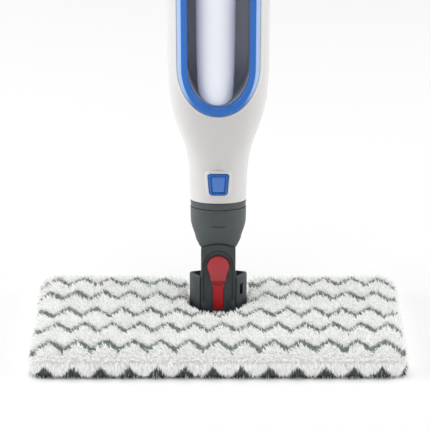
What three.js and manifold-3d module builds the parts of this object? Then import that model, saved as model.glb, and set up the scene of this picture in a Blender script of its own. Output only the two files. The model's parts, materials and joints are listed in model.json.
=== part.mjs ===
// Steam mop, standing upright on its pad. Millimetres, +Z up.
// The origin is the middle of the pad's footprint on the floor. The user stands on the +Y side,
// and the window with the water tank faces -Y. Every piece is one named mesh.
import * as THREE from 'three';
import { mergeVertices } from 'three/addons/utils/BufferGeometryUtils.js';
import Module from 'manifold-3d';

const wasm = await Module();
wasm.setup();

// ---- Driving dimensions ----
const gap = 0.3; // left between pieces that touch
const runClear = 0.35; // radial clearance of a running pin
const screwShank = 1.5;
const screwHead = 3.2;
const screwHeadDeep = 2.2;

// Pad: a pocket of pile cloth that slips over the head from the front
const padSide = 12; // pad beyond the head at each side
const padFront = 10; // and at its front and back
const padSole = 7; // pile and backing under the head
const padTop = 7; // pile and backing over the head
const padCorner = 20;
const padRound = 5;
const pocketClear = 0.4;

// Head: two covers with the steam distributor between them
const headWidth = 396;
const headDepth = 158;
const headThick = 13.2;
const headCorner = 14;
const headSkin = 2.2;
const headWall = 2.6;
const notchClear = 3.5; // between the turret and the head around it
const lugLength = 13; // head material that carries each end of the pivot pin
const headScrewInset = [28, 19]; // from the head's side, and from its front or back
const distributorInset = 38; // from the head's sides
const distributorDepth = 54;
const distributorThick = 5;
const distributorY = -36;
const steamSlots = 13;
const steamSlotLong = 10;
const steamSlotWide = 3;
const feedPipeRadius = 3;

// Pivot: the neck tilts back on a pin across the notch
const pivotY = 50;
const pivotPinRadius = 4;
const pivotPinBore = 2.2;
const bushWall = 2;
const bushLength = 11;
const barrelRadius = 11.5;

// Neck housing: a round turret with a clevis standing on it
const turretRadius = 33;
const turretTop = 64.5; // beside the clevis
const shoulderDrop = 3; // how far the turret's top falls to its sides
const turretBottom = 15;
const turretRound = 5;
const shoulderRound = 4.5; // outer corners of the shoulders, seen from the front
const shoulderSlope = 1.05; // how steeply the shoulders fall behind their pockets
const housingRear = 14; // how far the housing reaches behind the pivot
const clevisHalfWidth = 19.5;
const clevisFront = 34; // clevis front face ahead of the pivot
const swivelZ = 79;
const seamRadius = 31.8; // round top of the clevis, about the swivel
const archHalfWidth = 16.3; // recess about the lever, round at its top
const archBorder = 7.2; // from the paddle's top to the arch's
const archDeep = 1.6;
const tongueThick = 14;
const tongueHub = 15;
const tongueHalfWidth = 14;
const swivelPinRadius = 4;
const pocketDeep = 34; // moulding pockets in the turret's shoulders
const pocketBack = 11.5; // the pockets end this far ahead of the pivot
const grooveWide = 1.3; // upright grooves in the turret beside the clevis
const grooveDeep = 2;
const slotWide = 3.2; // slot in the right shoulder's front
const slotHigh = 14.6;
const steamTubeRadius = 3.4;

// Lock lever: a rocker with a round paddle and a stem
const paddleZ = 83.4; // middle of its round top
const paddleHalfWidth = 12.4;
const paddleHalfHeight = 12;
const paddleLow = 65.8;
const paddleProud = 3.2; // at its bottom; its top is flush with the clevis
const paddleThick = 6.4;
const waistHalfWidth = 8.4;
const stemHalfWidth = 5.9;
const stemTopZ = 56.2;
const stemBottomZ = 24;
const leverClear = 0.5;
const leverPinRadius = 1.6;

// Collar and the joint line under the casing, which slopes down to the back
const jointLevel = 152; // height of the joint line above the pivot
const jointSlope = 0.343;
const trimHeight = 9;
const collarRadius = 31.5;
const collarWall = 2.6;
const collarFlat = 1.5; // depth of the flat on its front, from this height up
const collarFlatLow = 131.5;
const spigotRadius = 26.5;
const spigotWall = 3;
const spigotHeight = 20; // above the joint line
const stubTop = 205; // steam stub that plugs into the boiler
const spigotClear = 0.5; // between the spigot and its socket
const socketClear = 0.2; // between the socket and the casing around it

// Casing: height, half width, half depth and squareness of its cross sections
const poleRadius = 15; // the handle's pole, which the casing closes on
const casingStations = [
  [130, collarRadius, collarRadius, 2.0],
  [152, collarRadius, collarRadius, 2.0],
  [176, 32.2, 32.0, 2.1],
  [201, 33.6, 33.2, 2.25],
  [226, 37.8, 35.4, 2.5],
  [254, 46.5, 38.6, 2.8],
  [282, 52.8, 41.4, 3.0],
  [310, 54.9, 43.2, 3.1],
  [350, 55.4, 44.0, 3.1],
  [560, 55.4, 44.0, 3.1],
  [612, 53.4, 42.0, 2.9],
  [655, 43.5, 35.6, 2.6],
  [695, poleRadius + 13.6, poleRadius + 11.4, 2.2],
  [735, poleRadius + 5.4, poleRadius + 5, 2.0],
];
const casingTop = casingStations.at(-1)[0];
const casingWall = 2.4;

// Window frame and tank bay
const windowHalfWidth = 33.5;
const windowArc = 46.5; // height of each rounded end
const windowArcLow = 334; // where the lower end begins
const windowArcHigh = 560;
const frameBand = 11;
const frameProud = 3.3;
const frameLip = 1.6; // inner lip that goes through the casing
const frameLipDeep = 3.4;
const bayWall = 1.6;
const bayBackY = 46;

// Water tank
const tankX = -3;
const tankHalfWidth = 21.5;
const tankHalfDepth = 17;
const tankY = 27;
const tankTaper = 2; // narrower on each side at the bottom
const tankTop = 562;
const tankWall = 1.8;
const tankClear = 1.2; // between the tank's foot and the bay
const fillerRadius = 10.5;
const fillerHeight = 7;
const capRadius = 13;
const capHeight = 12;
const outletZ = 312;
const outletRadius = 4;

// Release button in the casing's front
const buttonLow = 174;
const buttonHigh = 201;
const buttonHalfTop = 11.4;
const buttonHalfBottom = 9.9;
const buttonThick = 4.2;
const buttonProud = 1.6;
const buttonClear = 0.5;

// Works inside the casing
const boilerRadius = 22;
const boilerClear = 2.6; // between the boiler and the screw posts beside it
const boilerLow = 213;
const boilerHigh = 281;
const boilerY = 54;
const nippleRadius = 7;
const pumpRadius = 14;
const pumpLow = 322;
const pumpHigh = 396;
const pumpY = 70;
const waterTubeRadius = 2.5;
const boardLow = 440;
const boardHigh = 540;
const postRadius = 4.4;

// Handle
const poleWall = 1.6;
const poleLow = 636;
const gripLow = 1022;
const poleInGrip = 70; // how far the pole reaches into the grip
const gripWall = 3;
const gripStations = [
  [0, 1.9, 2.4, 0],
  [14, 3.0, 4.6, 0],
  [70, 2.2, 3.6, 1],
  [120, 2.6, 4.6, 4],
  [156, 3.6, 6.2, 9],
  [176, 2.0, 4.6, 13],
  [187, -3.4, -1.0, 16],
  [191, -10.0, -8.5, 17],
]; // height above gripLow, half width and half depth beyond the pole's radius, lean towards the user
const triggerLow = gripLow + 80;
const triggerHigh = triggerLow + 48;
const triggerHalfWidth = 6;
const triggerProud = 7;
const triggerDeep = 15;
const triggerTravel = 4;
const lensZ = gripLow + 158;
const lensRadius = 4;

// Cord hooks and cord gland
const hookHalfWidth = 12;
const hookThick = 5;
const hookReach = 20; // clear space between the hook's lip and what it stands on
const hookLip = 25;
const lowerHookZ = 668;
const upperHookZ = gripLow - 74;
const bracketHalfHeight = 12;
const bracketWall = 3.4;
const hubRadius = 9;
const glandZ = 706;
const glandRadius = 6.5;
const glandLength = 22;
const glandBore = 3.4;

// ---- Sizes worked out from them ----
const padWidth = headWidth + 2 * padSide;
const padDepth = headDepth + 2 * padFront;
const headLow = padSole + pocketClear;
const headHigh = headLow + headThick;
const padHigh = headHigh + pocketClear + padTop;
const pivotZ = headLow + headThick / 2;
const notchRadius = turretRadius + notchClear;
const bushRadius = pivotPinRadius + runClear + bushWall;
const clevisFrontY = pivotY - clevisFront;
const clevisRearY = pivotY + housingRear;
const windowLow = windowArcLow - windowArc;
const poleHigh = gripLow + poleInGrip;
const far = 3000;

// ---- Solids ----
// A closed geometry as a solid. Faces that were wound inwards are turned.
function solid(geometry) {
  const bare = new THREE.BufferGeometry();
  const source = geometry.index ? geometry.toNonIndexed() : geometry;
  bare.setAttribute('position', source.getAttribute('position'));
  const merged = mergeVertices(bare, 1e-4);
  const index = merged.index.array;
  const faces = [];
  for (let i = 0; i < index.length; i += 3) {
    const [a, b, c] = index.slice(i, i + 3);
    if (a !== b && b !== c && c !== a) faces.push(a, b, c);
  }
  const vertProperties = merged.getAttribute('position').array;
  const make = (list) =>
    new wasm.Manifold(new wasm.Mesh({ numProp: 3, vertProperties, triVerts: new Uint32Array(list) }));
  const made = make(faces);
  return made.volume() > 0 ? made : make(faces.reverse());
}

const join = (first, ...others) => others.reduce((all, one) => all.add(one), first);
const cut = (first, ...others) => others.reduce((all, one) => all.subtract(one), first);

// A box between the given limits; an axis that isn't named has none.
function slab({ x = [-far, far], y = [-far, far], z = [-far, far] }) {
  const box = new THREE.BoxGeometry(x[1] - x[0], y[1] - y[0], z[1] - z[0]);
  return solid(box.translate((x[0] + x[1]) / 2, (y[0] + y[1]) / 2, (z[0] + z[1]) / 2));
}

const mirrored = (half) => [-half, half];

function rodX(radius, x0, x1, y, z, sides = 20) {
  const rod = new THREE.CylinderGeometry(radius, radius, x1 - x0, sides);
  return solid(rod.rotateZ(Math.PI / 2).translate((x0 + x1) / 2, y, z));
}

function rodY(radius, y0, y1, x, z, sides = 20) {
  const rod = new THREE.CylinderGeometry(radius, radius, y1 - y0, sides);
  return solid(rod.translate(x, (y0 + y1) / 2, z));
}

function rodZ(radius, z0, z1, x, y, sides = 20) {
  const rod = new THREE.CylinderGeometry(radius, radius, z1 - z0, sides);
  return solid(rod.rotateX(Math.PI / 2).translate(x, y, (z0 + z1) / 2));
}

// A profile of [radius, height] points turned about a vertical axis at (x, y).
function turned(profile, x, y, sides = 20) {
  const points = profile.map(([r, h]) => new THREE.Vector2(r, h));
  return solid(new THREE.LatheGeometry(points, sides).rotateX(Math.PI / 2).translate(x, y, 0));
}

// The same about an axis along +Y, with heights measured from y0.
function turnedY(profile, x, y0, z, sides = 16) {
  const points = profile.map(([r, h]) => new THREE.Vector2(r, h));
  return solid(new THREE.LatheGeometry(points, sides).translate(x, y0, z));
}

function plateZ(shape, z0, z1, options = {}) {
  const settings = { depth: z1 - z0, bevelEnabled: false, curveSegments: 4, ...options };
  return solid(new THREE.ExtrudeGeometry(shape, settings).translate(0, 0, z0));
}

// An outline in X and Z, from y0 to y1.
function plateY(shape, y0, y1, curveSegments = 8) {
  const plate = new THREE.ExtrudeGeometry(shape, { depth: y1 - y0, bevelEnabled: false, curveSegments });
  return solid(plate.rotateX(Math.PI / 2).translate(0, y1, 0));
}

// An outline in Y and Z, from x0 to x1.
function plateX(shape, x0, x1) {
  const plate = new THREE.ExtrudeGeometry(shape, { depth: x1 - x0, bevelEnabled: false, curveSegments: 6 });
  const turn = new THREE.Matrix4().makeBasis(
    new THREE.Vector3(0, 1, 0),
    new THREE.Vector3(0, 0, 1),
    new THREE.Vector3(1, 0, 0),
  );
  return solid(plate.applyMatrix4(turn).translate(x0, 0, 0));
}

function outline(points) {
  return new THREE.Shape(points.map(([u, v]) => new THREE.Vector2(u, v)));
}

function roundedRect(halfX, y0, y1, corner) {
  const shape = new THREE.Shape();
  shape.absarc(halfX - corner, y0 + corner, corner, -Math.PI / 2, 0);
  shape.absarc(halfX - corner, y1 - corner, corner, 0, Math.PI / 2);
  shape.absarc(corner - halfX, y1 - corner, corner, Math.PI / 2, Math.PI);
  shape.absarc(corner - halfX, y0 + corner, corner, Math.PI, Math.PI * 1.5);
  return shape;
}

// A round rod of a few sides along a path; the path's ends are flat.
function tubeAlong(points, radius, steps, halfSides = 4) {
  const section = new THREE.Shape();
  section.absarc(0, 0, radius, 0, Math.PI * 2);
  const extrudePath = new THREE.CatmullRomCurve3(points.map((p) => new THREE.Vector3(...p)));
  return solid(new THREE.ExtrudeGeometry(section, { steps, extrudePath, curveSegments: halfSides }));
}

// A compression spring along +Y.
function spring(radius, wire, y0, y1, x, z, turns) {
  const points = [];
  const perTurn = 8;
  for (let i = 0; i <= turns * perTurn; i++) {
    const angle = (i / perTurn) * Math.PI * 2;
    const along = y0 + wire + ((y1 - y0 - 2 * wire) * i) / (turns * perTurn);
    points.push([x + radius * Math.cos(angle), along, z + radius * Math.sin(angle)]);
  }
  return tubeAlong(points, wire, turns * perTurn, 3);
}

// A stack of superellipse rings: each ring is { z, x, y, a, b, n }.
function loft(rings, sides) {
  const points = [];
  const faces = [];
  for (const { z, x = 0, y, a, b, n = 2 } of rings) {
    for (let i = 0; i < sides; i++) {
      const turn = ((i + 0.5) / sides) * Math.PI * 2;
      const c = Math.cos(turn);
      const s = Math.sin(turn);
      const [wide, deep] = [Math.abs(c) ** (2 / n), Math.abs(s) ** (2 / n)];
      points.push(x + a * Math.sign(c) * wide, y + b * Math.sign(s) * deep, z);
    }
  }
  const last = rings.length - 1;
  for (let level = 0; level < last; level++) {
    for (let i = 0; i < sides; i++) {
      const j = (i + 1) % sides;
      const [p, q] = [level * sides + i, level * sides + j];
      faces.push(p, q, q + sides, p, q + sides, p + sides);
    }
  }
  for (const [level, under] of [[0, true], [last, false]]) {
    const { z, x = 0, y } = rings[level];
    const centre = points.length / 3;
    points.push(x, y, z);
    for (let i = 0; i < sides; i++) {
      const [p, q] = [level * sides + i, level * sides + ((i + 1) % sides)];
      faces.push(centre, under ? q : p, under ? p : q);
    }
  }
  const geometry = new THREE.BufferGeometry();
  geometry.setAttribute('position', new THREE.Float32BufferAttribute(points, 3));
  geometry.setIndex(faces);
  return solid(geometry);
}

// Smooth values between stations of [position, ...values].
function smooth(stations) {
  const values = stations.flatMap((row) => row.slice(1));
  const size = stations[0].length - 1;
  const curve = new THREE.CubicInterpolant(stations.map((row) => row[0]), values, size);
  return (position) => [...curve.evaluate(position)];
}

// Heights from the first station to the last, closer together where the shape turns.
function levelsOf(stations, between) {
  const levels = [];
  stations.slice(1).forEach(([high], k) => {
    const low = stations[k][0];
    const steps = Math.max(1, Math.round((high - low) / between));
    const few = high - low > 100 ? 1 : steps;
    for (let i = 0; i < few; i++) levels.push(low + ((high - low) * i) / few);
  });
  return [...levels, stations.at(-1)[0]];
}

// Everything under the sloping joint line, moved up or down by a distance along Z.
function underJoint(offset) {
  const block = new THREE.BoxGeometry(400, 400, 400).translate(0, 0, -200);
  block.rotateX(-Math.atan(jointSlope)).translate(0, pivotY, jointLevel + offset);
  return solid(block);
}

// ---- Casing shape ----
const casingAt = smooth(casingStations);
const casingLevels = levelsOf(casingStations, 20);

// The casing's outer form, grown by an amount on every side.
function casingForm(grow) {
  const rings = casingLevels.map((z) => {
    const [a, b, n] = casingAt(z);
    return { z, y: pivotY, a: a + grow, b: b + grow, n };
  });
  return loft(rings, 32);
}

// Distance from the pivot plane to the casing's surface at the middle of its front or back.
const casingHalfDepth = (z) => casingAt(z)[1];

// The window's outline, grown by an amount: two straight sides and two elliptical ends.
function windowOutline(grow) {
  const half = windowHalfWidth + grow;
  const arc = windowArc + grow;
  const shape = new THREE.Shape();
  shape.absellipse(0, windowArcLow, half, arc, Math.PI, 0, false);
  shape.absellipse(0, windowArcHigh, half, arc, 0, Math.PI, false);
  return shape;
}

const windowPlug = (grow, y0, y1) => plateY(windowOutline(grow), y0, y1, 10);

function buttonOutline(grow) {
  return outline([
    [-buttonHalfBottom - grow, buttonLow - grow],
    [buttonHalfBottom + grow, buttonLow - grow],
    [buttonHalfTop + grow, buttonHigh + grow],
    [-buttonHalfTop - grow, buttonHigh + grow],
  ]);
}

// A screw along +Y with its head at the back, at (x, z): the head's outer face is at y.
function screwY(x, y, z, length, grow = 0) {
  return turnedY(
    [
      [0, -length - grow],
      [screwShank + grow, -length - grow],
      [screwShank + grow, -screwHeadDeep - grow],
      [screwHead + grow, -screwHeadDeep - grow],
      [screwHead + grow, grow ? far : 0],
      [0, grow ? far : 0],
    ],
    x, y, z, 10,
  );
}

// ---- Mop head ----
function headOutline(shrink) {
  const [halfWide, halfDeep] = [headWidth / 2 - shrink, headDepth / 2 - shrink];
  return roundedRect(halfWide, -halfDeep, halfDeep, headCorner - shrink / 2);
}

// The notch around the turret, open to the back.
function notch(radius) {
  return join(
    rodZ(radius, -far, far, 0, pivotY, 40),
    slab({ x: mirrored(radius), y: [pivotY, far] }),
  );
}

const headScrewPlaces = [[-1, -1], [1, -1], [-1, 1], [1, 1]].map(([sideX, sideY]) => [
  sideX * (headWidth / 2 - headScrewInset[0]),
  sideY * (headDepth / 2 - headScrewInset[1]),
]);

function headScrew(x, y, grow = 0) {
  const low = headLow + 0.6;
  const high = headHigh - headSkin - 0.6;
  return turned(
    [
      [0, grow ? -far : low],
      [screwHead + grow, grow ? -far : low],
      [screwHead + grow, low + screwHeadDeep + grow],
      [screwShank + grow, low + screwHeadDeep + grow],
      [screwShank + grow, high + grow],
      [0, high + grow],
    ],
    x, y, 10,
  );
}

function headCovers() {
  const whole = cut(plateZ(headOutline(0), headLow, headHigh), notch(notchRadius));
  const lugs = [-1, 1].map((side) => {
    const ends = [side * notchRadius, side * (notchRadius + headWall + lugLength)].sort((p, q) => p - q);
    return slab({ x: ends, y: [pivotY - 10, pivotY + 10] });
  });
  const posts = headScrewPlaces.map(([x, y]) => rodZ(screwHead + 2.4, headLow, headHigh, x, y, 12));
  const hollow = cut(
    plateZ(headOutline(headWall), headLow + headSkin, headHigh - headSkin),
    notch(notchRadius + headWall),
    ...lugs,
    ...posts,
  );
  const pinSeat = rodX(pivotPinRadius + gap, -far, far, pivotY, pivotZ);
  const pipeSeat = rodX(feedPipeRadius + gap, 0, far, pivotY, pivotZ, 12)
    .intersect(slab({ x: [notchRadius, notchRadius + headWall + lugLength + 1] }));
  const screws = headScrewPlaces.map(([x, y]) => headScrew(x, y, gap));
  const frame = cut(whole, hollow, pinSeat, pipeSeat, ...screws);
  const slots = [];
  for (let i = 0; i < steamSlots; i++) {
    const x = ((i - (steamSlots - 1) / 2) * (distributorWidth - 30)) / (steamSlots - 1);
    slots.push(slab({
      x: [x - steamSlotLong / 2, x + steamSlotLong / 2],
      y: [distributorY - steamSlotWide / 2, distributorY + steamSlotWide / 2],
      z: [-far, pivotZ],
    }));
  }
  return {
    top: frame.intersect(slab({ z: [pivotZ + gap / 2, far] })),
    bottom: cut(frame.intersect(slab({ z: [-far, pivotZ - gap / 2] })), ...slots),
  };
}

const distributorWidth = headWidth - 2 * distributorInset;
const distributorLow = headLow + headSkin + gap;
const pinHalfLength = notchRadius + headWall + lugLength - 1;
const feedPipeX = pinHalfLength + 9;

function steamDistributor() {
  const [low, high] = [distributorLow, distributorLow + distributorThick];
  const half = distributorWidth / 2;
  const plate = slab({
    x: mirrored(half),
    y: [distributorY - distributorDepth / 2, distributorY + distributorDepth / 2],
    z: [low, high],
  });
  const channel = slab({
    x: mirrored(half - 8),
    y: [distributorY - distributorDepth / 2 + 8, distributorY + distributorDepth / 2 - 8],
    z: [low - 1, high - 2],
  });
  const inlet = slab({
    x: [feedPipeX - feedPipeRadius - gap, feedPipeX + feedPipeRadius + gap],
    y: [distributorY + distributorDepth / 2 - 9, far],
    z: [low - 1, high - 1.2],
  });
  return cut(plate, channel, inlet);
}

function feedPipe() {
  const end = distributorY + distributorDepth / 2 + gap;
  return tubeAlong(
    [
      [pinHalfLength + gap, pivotY, pivotZ],
      [pinHalfLength + 4, pivotY, pivotZ],
      [feedPipeX, pivotY - 6, pivotZ],
      [feedPipeX, pivotY - 14, pivotZ],
      [feedPipeX, (pivotY + end) / 2, pivotZ],
      [feedPipeX, end, pivotZ],
    ],
    feedPipeRadius, 14,
  );
}

function pivotPin() {
  return cut(
    rodX(pivotPinRadius, -pinHalfLength, pinHalfLength, pivotY, pivotZ),
    rodX(pivotPinBore, -far, far, pivotY, pivotZ, 10),
  );
}

// ---- Pad ----
function padPocket() {
  const outer = roundedRect(
    padWidth / 2 - padRound, padRound - padDepth / 2, padDepth / 2 - padRound, padCorner - padRound,
  );
  const block = plateZ(outer, padRound, padHigh - padRound, {
    bevelEnabled: true, bevelSize: padRound, bevelThickness: padRound, bevelSegments: 3,
  });
  const pocket = plateZ(
    roundedRect(headWidth / 2 + pocketClear, -headDepth / 2 - pocketClear, padDepth, headCorner),
    padSole, padHigh - padTop,
  );
  return cut(block, pocket, notch(notchRadius + 1));
}

// ---- Neck housing ----
function leverOutline(grow) {
  const shape = new THREE.Shape();
  const [wide, high] = [paddleHalfWidth + grow, paddleHalfHeight + grow];
  const [waist, stem] = [waistHalfWidth + grow, stemHalfWidth + grow];
  const low = Math.PI * 0.16; // how far the round top reaches below its middle
  const chin = paddleZ - paddleHalfHeight;
  shape.absellipse(0, paddleZ, wide, high, -low, Math.PI + low, false);
  shape.quadraticCurveTo(-waist - 0.6, chin, -waist, paddleLow);
  shape.lineTo(-stem, stemTopZ);
  shape.lineTo(-stem, stemBottomZ - grow);
  shape.lineTo(stem, stemBottomZ - grow);
  shape.lineTo(stem, stemTopZ);
  shape.lineTo(waist, paddleLow);
  shape.quadraticCurveTo(waist + 0.6, chin, wide * Math.cos(low), paddleZ - high * Math.sin(low));
  return shape;
}

const paddleBackY = clevisFrontY - paddleProud + paddleThick;
const stemBackY = clevisFrontY + 7;
const leverWayY = stemBackY + 1.2;
const leverPinY = clevisFrontY + 5;
const leverPinZ = stemTopZ - 2;

function clevis() {
  const block = slab({
    x: mirrored(clevisHalfWidth),
    y: [clevisFrontY, clevisRearY],
    z: [turretBottom, swivelZ + seamRadius],
  });
  const round = join(
    rodY(seamRadius - gap, clevisFrontY - 1, clevisRearY + 1, 0, swivelZ, 56),
    slab({ x: mirrored(clevisHalfWidth), z: [0, swivelZ] }),
  );
  const inNotch = join(slab({ z: [padHigh + 8, far] }), rodZ(turretRadius + 1, 0, far, 0, pivotY, 40));
  return block.intersect(round).intersect(inNotch);
}

// The front face steps back inside a round arch about the paddle.
function archStep() {
  const shape = new THREE.Shape();
  shape.absellipse(0, paddleZ, archHalfWidth, paddleHalfHeight + archBorder, 0, Math.PI, false);
  shape.lineTo(-archHalfWidth, turretBottom - 1);
  shape.lineTo(archHalfWidth, turretBottom - 1);
  return plateY(shape, 0, clevisFrontY + archDeep, 12);
}

function turret() {
  const drum = turned(
    [
      [0, turretBottom],
      [turretRadius, turretBottom],
      [turretRadius, turretTop - turretRound],
      [turretRadius - turretRound * 0.3, turretTop - turretRound * 0.3],
      [turretRadius - turretRound, turretTop],
      [0, turretTop],
    ],
    0, pivotY, 40,
  );
  // The shoulders fall away behind their pockets.
  const slope = outline([
    [pivotY - pocketBack - 0.5, turretTop],
    [pivotY + turretRadius, turretTop],
    [pivotY + turretRadius, turretTop - shoulderSlope * (turretRadius + pocketBack + 0.5)],
  ]);
  const wide = turretRadius + 1;
  const eaves = turretTop - shoulderDrop;
  const half = [
    [turretRadius, eaves - shoulderRound], [turretRadius - shoulderRound * 0.08, eaves - shoulderRound * 0.6],
    [turretRadius - shoulderRound * 0.3, eaves - shoulderRound * 0.25],
    [turretRadius - shoulderRound * 0.65, eaves],
    [clevisHalfWidth, turretTop],
  ];
  const roof = outline([
    [turretRadius, 0], ...half, ...half.toReversed().map(([x, z]) => [-x, z]), [-turretRadius, 0],
  ]);
  return cut(drum, plateX(slope, -wide, wide), slab({ y: [clevisRearY - 1, far] }))
    .intersect(plateY(roof, -far, far));
}

function shoulderPocket(side) {
  const inner = clevisHalfWidth + 1.4;
  const round = rodZ(turretRadius - 2.6, turretTop - pocketDeep, far, 0, pivotY, 40);
  const x = [side * inner, side * turretRadius].sort((p, q) => p - q);
  return round.intersect(slab({ x, y: [0, pivotY - pocketBack] }));
}

function clevisGroove(side) {
  const outer = clevisHalfWidth + grooveWide;
  const surfaceY = pivotY - Math.sqrt(turretRadius ** 2 - outer ** 2);
  const x = [side * clevisHalfWidth, side * outer].sort((p, q) => p - q);
  return slab({ x, y: [0, surfaceY + grooveDeep] });
}

// A slot through the wall in front of the right pocket.
function shoulderSlot() {
  const middle = turretRadius * 0.8;
  const high = turretTop - 13;
  const x = [middle - slotWide / 2, middle + slotWide / 2];
  return slab({ x, y: [0, pivotY - pocketBack - 1], z: [high - slotHigh, high] });
}

const housingScrewPlaces = [[-13.5, 40], [13.5, 40]];

function housing() {
  const barrel = rodX(barrelRadius, -turretRadius + 0.5, turretRadius - 0.5, pivotY, pivotZ, 28);
  const slotHalf = tongueThick / 2 + 0.4;
  const slot = slab({
    x: mirrored(turretRadius),
    y: [pivotY - slotHalf, pivotY + slotHalf],
    z: [swivelZ - tongueHub - 1, far],
  });
  const leverWay = plateY(leverOutline(leverClear), -far, leverWayY, 16);
  const bushSeat = bushRadius + gap;
  const cuts = [
    slot,
    leverWay,
    archStep(),
    shoulderPocket(-1),
    shoulderPocket(1),
    clevisGroove(-1),
    clevisGroove(1),
    shoulderSlot(),
    rodX(bushSeat, turretRadius - 0.5 - bushLength, far, pivotY, pivotZ),
    rodX(bushSeat, -far, bushLength + 0.5 - turretRadius, pivotY, pivotZ),
    rodX(pivotPinRadius + 1, -far, far, pivotY, pivotZ),
    rodZ(steamTubeRadius + gap, pivotZ, swivelZ - tongueHub, 0, pivotY, 12),
    rodY(swivelPinRadius + gap, leverWayY + 1, clevisRearY - 1.5, 0, swivelZ),
    rodX(leverPinRadius + gap, -clevisHalfWidth + 3, clevisHalfWidth - 3, leverPinY, leverPinZ, 12),
    ...housingScrewPlaces.map(([x, z]) => screwY(x, clevisRearY - 1.2, z, 30, gap)),
  ];
  return cut(join(turret(), clevis(), barrel), ...cuts);
}

const housingPart = (whole, front) =>
  whole.intersect(slab({ y: front ? [-far, pivotY - gap / 2] : [pivotY + gap / 2, far] }));

function pivotBush(side) {
  const ends = [side * (turretRadius + 0.4), side * (turretRadius - bushLength)].sort((p, q) => p - q);
  const flangeEnds = [side * (turretRadius + gap), side * (notchRadius - 1.5)].sort((p, q) => p - q);
  return cut(
    join(
      rodX(bushRadius, ...ends, pivotY, pivotZ),
      rodX(bushRadius + 2.5, ...flangeEnds, pivotY, pivotZ),
    ),
    rodX(pivotPinRadius + runClear, -far, far, pivotY, pivotZ),
  );
}

// ---- Lock lever ----
function lockLever() {
  const front = clevisFrontY - paddleProud;
  const [low, high] = [paddleLow, paddleZ + paddleHalfHeight + 1];
  const leaning = plateX(
    outline([[front, low], [front, low + 6], [clevisFrontY, high], [paddleBackY, high], [paddleBackY, low]]),
    -paddleHalfWidth - 1, paddleHalfWidth + 1,
  );
  const flat = plateY(leverOutline(0), front - 1, stemBackY + 1, 16);
  const paddle = flat.intersect(leaning);
  const stemFrontY = clevisFrontY + archDeep + 0.2;
  const stem = plateX(
    outline([
      [front, paddleLow], [stemFrontY, stemTopZ], [stemFrontY, 0],
      [stemBackY, 0], [stemBackY, stemTopZ], [paddleBackY, paddleLow + 4], [front, paddleLow + 4],
    ]),
    -paddleHalfWidth, paddleHalfWidth,
  ).intersect(flat);
  const eye = rodX(leverPinRadius + gap, -far, far, leverPinY, leverPinZ, 12);
  return cut(join(paddle, stem), eye);
}

// ---- Collar ----
const collarStations = [
  [96, -11.9, -4.3, -4.3, 5.0],
  [104, -9.2, -3.8, -3.8, 4.4],
  [110, -5.6, -3.1, -3.2, 3.4],
  [114, -4.4, -2.5, -2.7, 2.9],
  [119, -2.3, -1.6, -1.8, 2.5],
  [124, -0.6, -0.7, -0.8, 2.2],
  [130, -0.1, -0.1, -0.1, 2.0],
  [140, 0, 0, 0, 2.0],
  [175, 0, 0, 0, 2.0],
]; // height, half width and half depth beyond the collar's radius, middle beyond the pivot, squareness

function collarForm(grow) {
  const at = smooth(collarStations);
  const rings = collarStations.map(([z]) => {
    const [wide, deep, y, n] = at(z);
    return { z, y: pivotY + y, a: collarRadius + wide + grow, b: collarRadius + deep + grow, n };
  });
  return loft(rings, 32);
}

const underSeam = (radius) => rodY(radius, -far, far, 0, swivelZ, 56);

function collarShell() {
  const outer = cut(collarForm(0), underSeam(seamRadius));
  const hollow = cut(collarForm(-collarWall), underSeam(seamRadius + collarWall));
  const tongueWay = slab({
    x: mirrored(tongueHalfWidth + gap),
    y: [pivotY - tongueThick / 2 - gap, pivotY + tongueThick / 2 + gap],
  });
  const frontFlat = slab({ y: [0, pivotY - collarRadius + collarFlat], z: [collarFlatLow, far] });
  return cut(outer, hollow, tongueWay, frontFlat).intersect(underJoint(-trimHeight - gap));
}

function collarTrim() {
  const band = cut(
    rodZ(collarRadius - 0.3, 120, 200, 0, pivotY, 36),
    rodZ(collarRadius - collarWall - 0.9, 0, far, 0, pivotY, 36),
  );
  return cut(band.intersect(underJoint(-gap)), underJoint(-trimHeight));
}

const coreFloor = swivelZ + seamRadius + 6;
const spigotTop = jointLevel + spigotHeight;
const catchLow = spigotTop - 9; // opening in the spigot for the latch

function collarCore() {
  const neck = slab({
    x: mirrored(tongueHalfWidth),
    y: [pivotY - tongueThick / 2, pivotY + tongueThick / 2],
    z: [swivelZ, coreFloor + 1],
  });
  const hub = rodY(tongueHub, pivotY - tongueThick / 2, pivotY + tongueThick / 2, 0, swivelZ, 28);
  const floorRadius = 22;
  const cup = cut(
    turned(
      [
        [0, coreFloor], [floorRadius, coreFloor], [spigotRadius, coreFloor + 10],
        [spigotRadius, spigotTop], [0, spigotTop],
      ],
      0, pivotY, 32,
    ),
    turned(
      [
        [0, coreFloor + 4], [floorRadius - 3, coreFloor + 4], [spigotRadius - spigotWall, coreFloor + 13],
        [spigotRadius - spigotWall, spigotTop + 1], [0, spigotTop + 1],
      ],
      0, pivotY, 32,
    ),
  );
  return cut(
    join(neck, hub, cup),
    rodY(swivelPinRadius + runClear, -far, far, 0, swivelZ),
    rodZ(steamTubeRadius + gap, swivelZ + swivelPinRadius + 4, far, 0, pivotY, 12),
    slab({ x: mirrored(7.5), y: [0, pivotY - 20], z: [catchLow, catchLow + 5.6] }),
  );
}

function collarSteamTube() {
  return cut(
    rodZ(steamTubeRadius, swivelZ + swivelPinRadius + 5, stubTop, 0, pivotY, 12),
    rodZ(steamTubeRadius - 1.2, 0, far, 0, pivotY, 8),
  );
}

function stubSeal() {
  const low = stubTop - 8;
  const [inner, outer] = [steamTubeRadius + gap, steamTubeRadius + 2.4];
  const high = low + 2.4;
  return turned([[inner, low], [outer, low], [outer, high], [inner, high], [inner, low]], 0, pivotY, 16);
}

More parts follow.
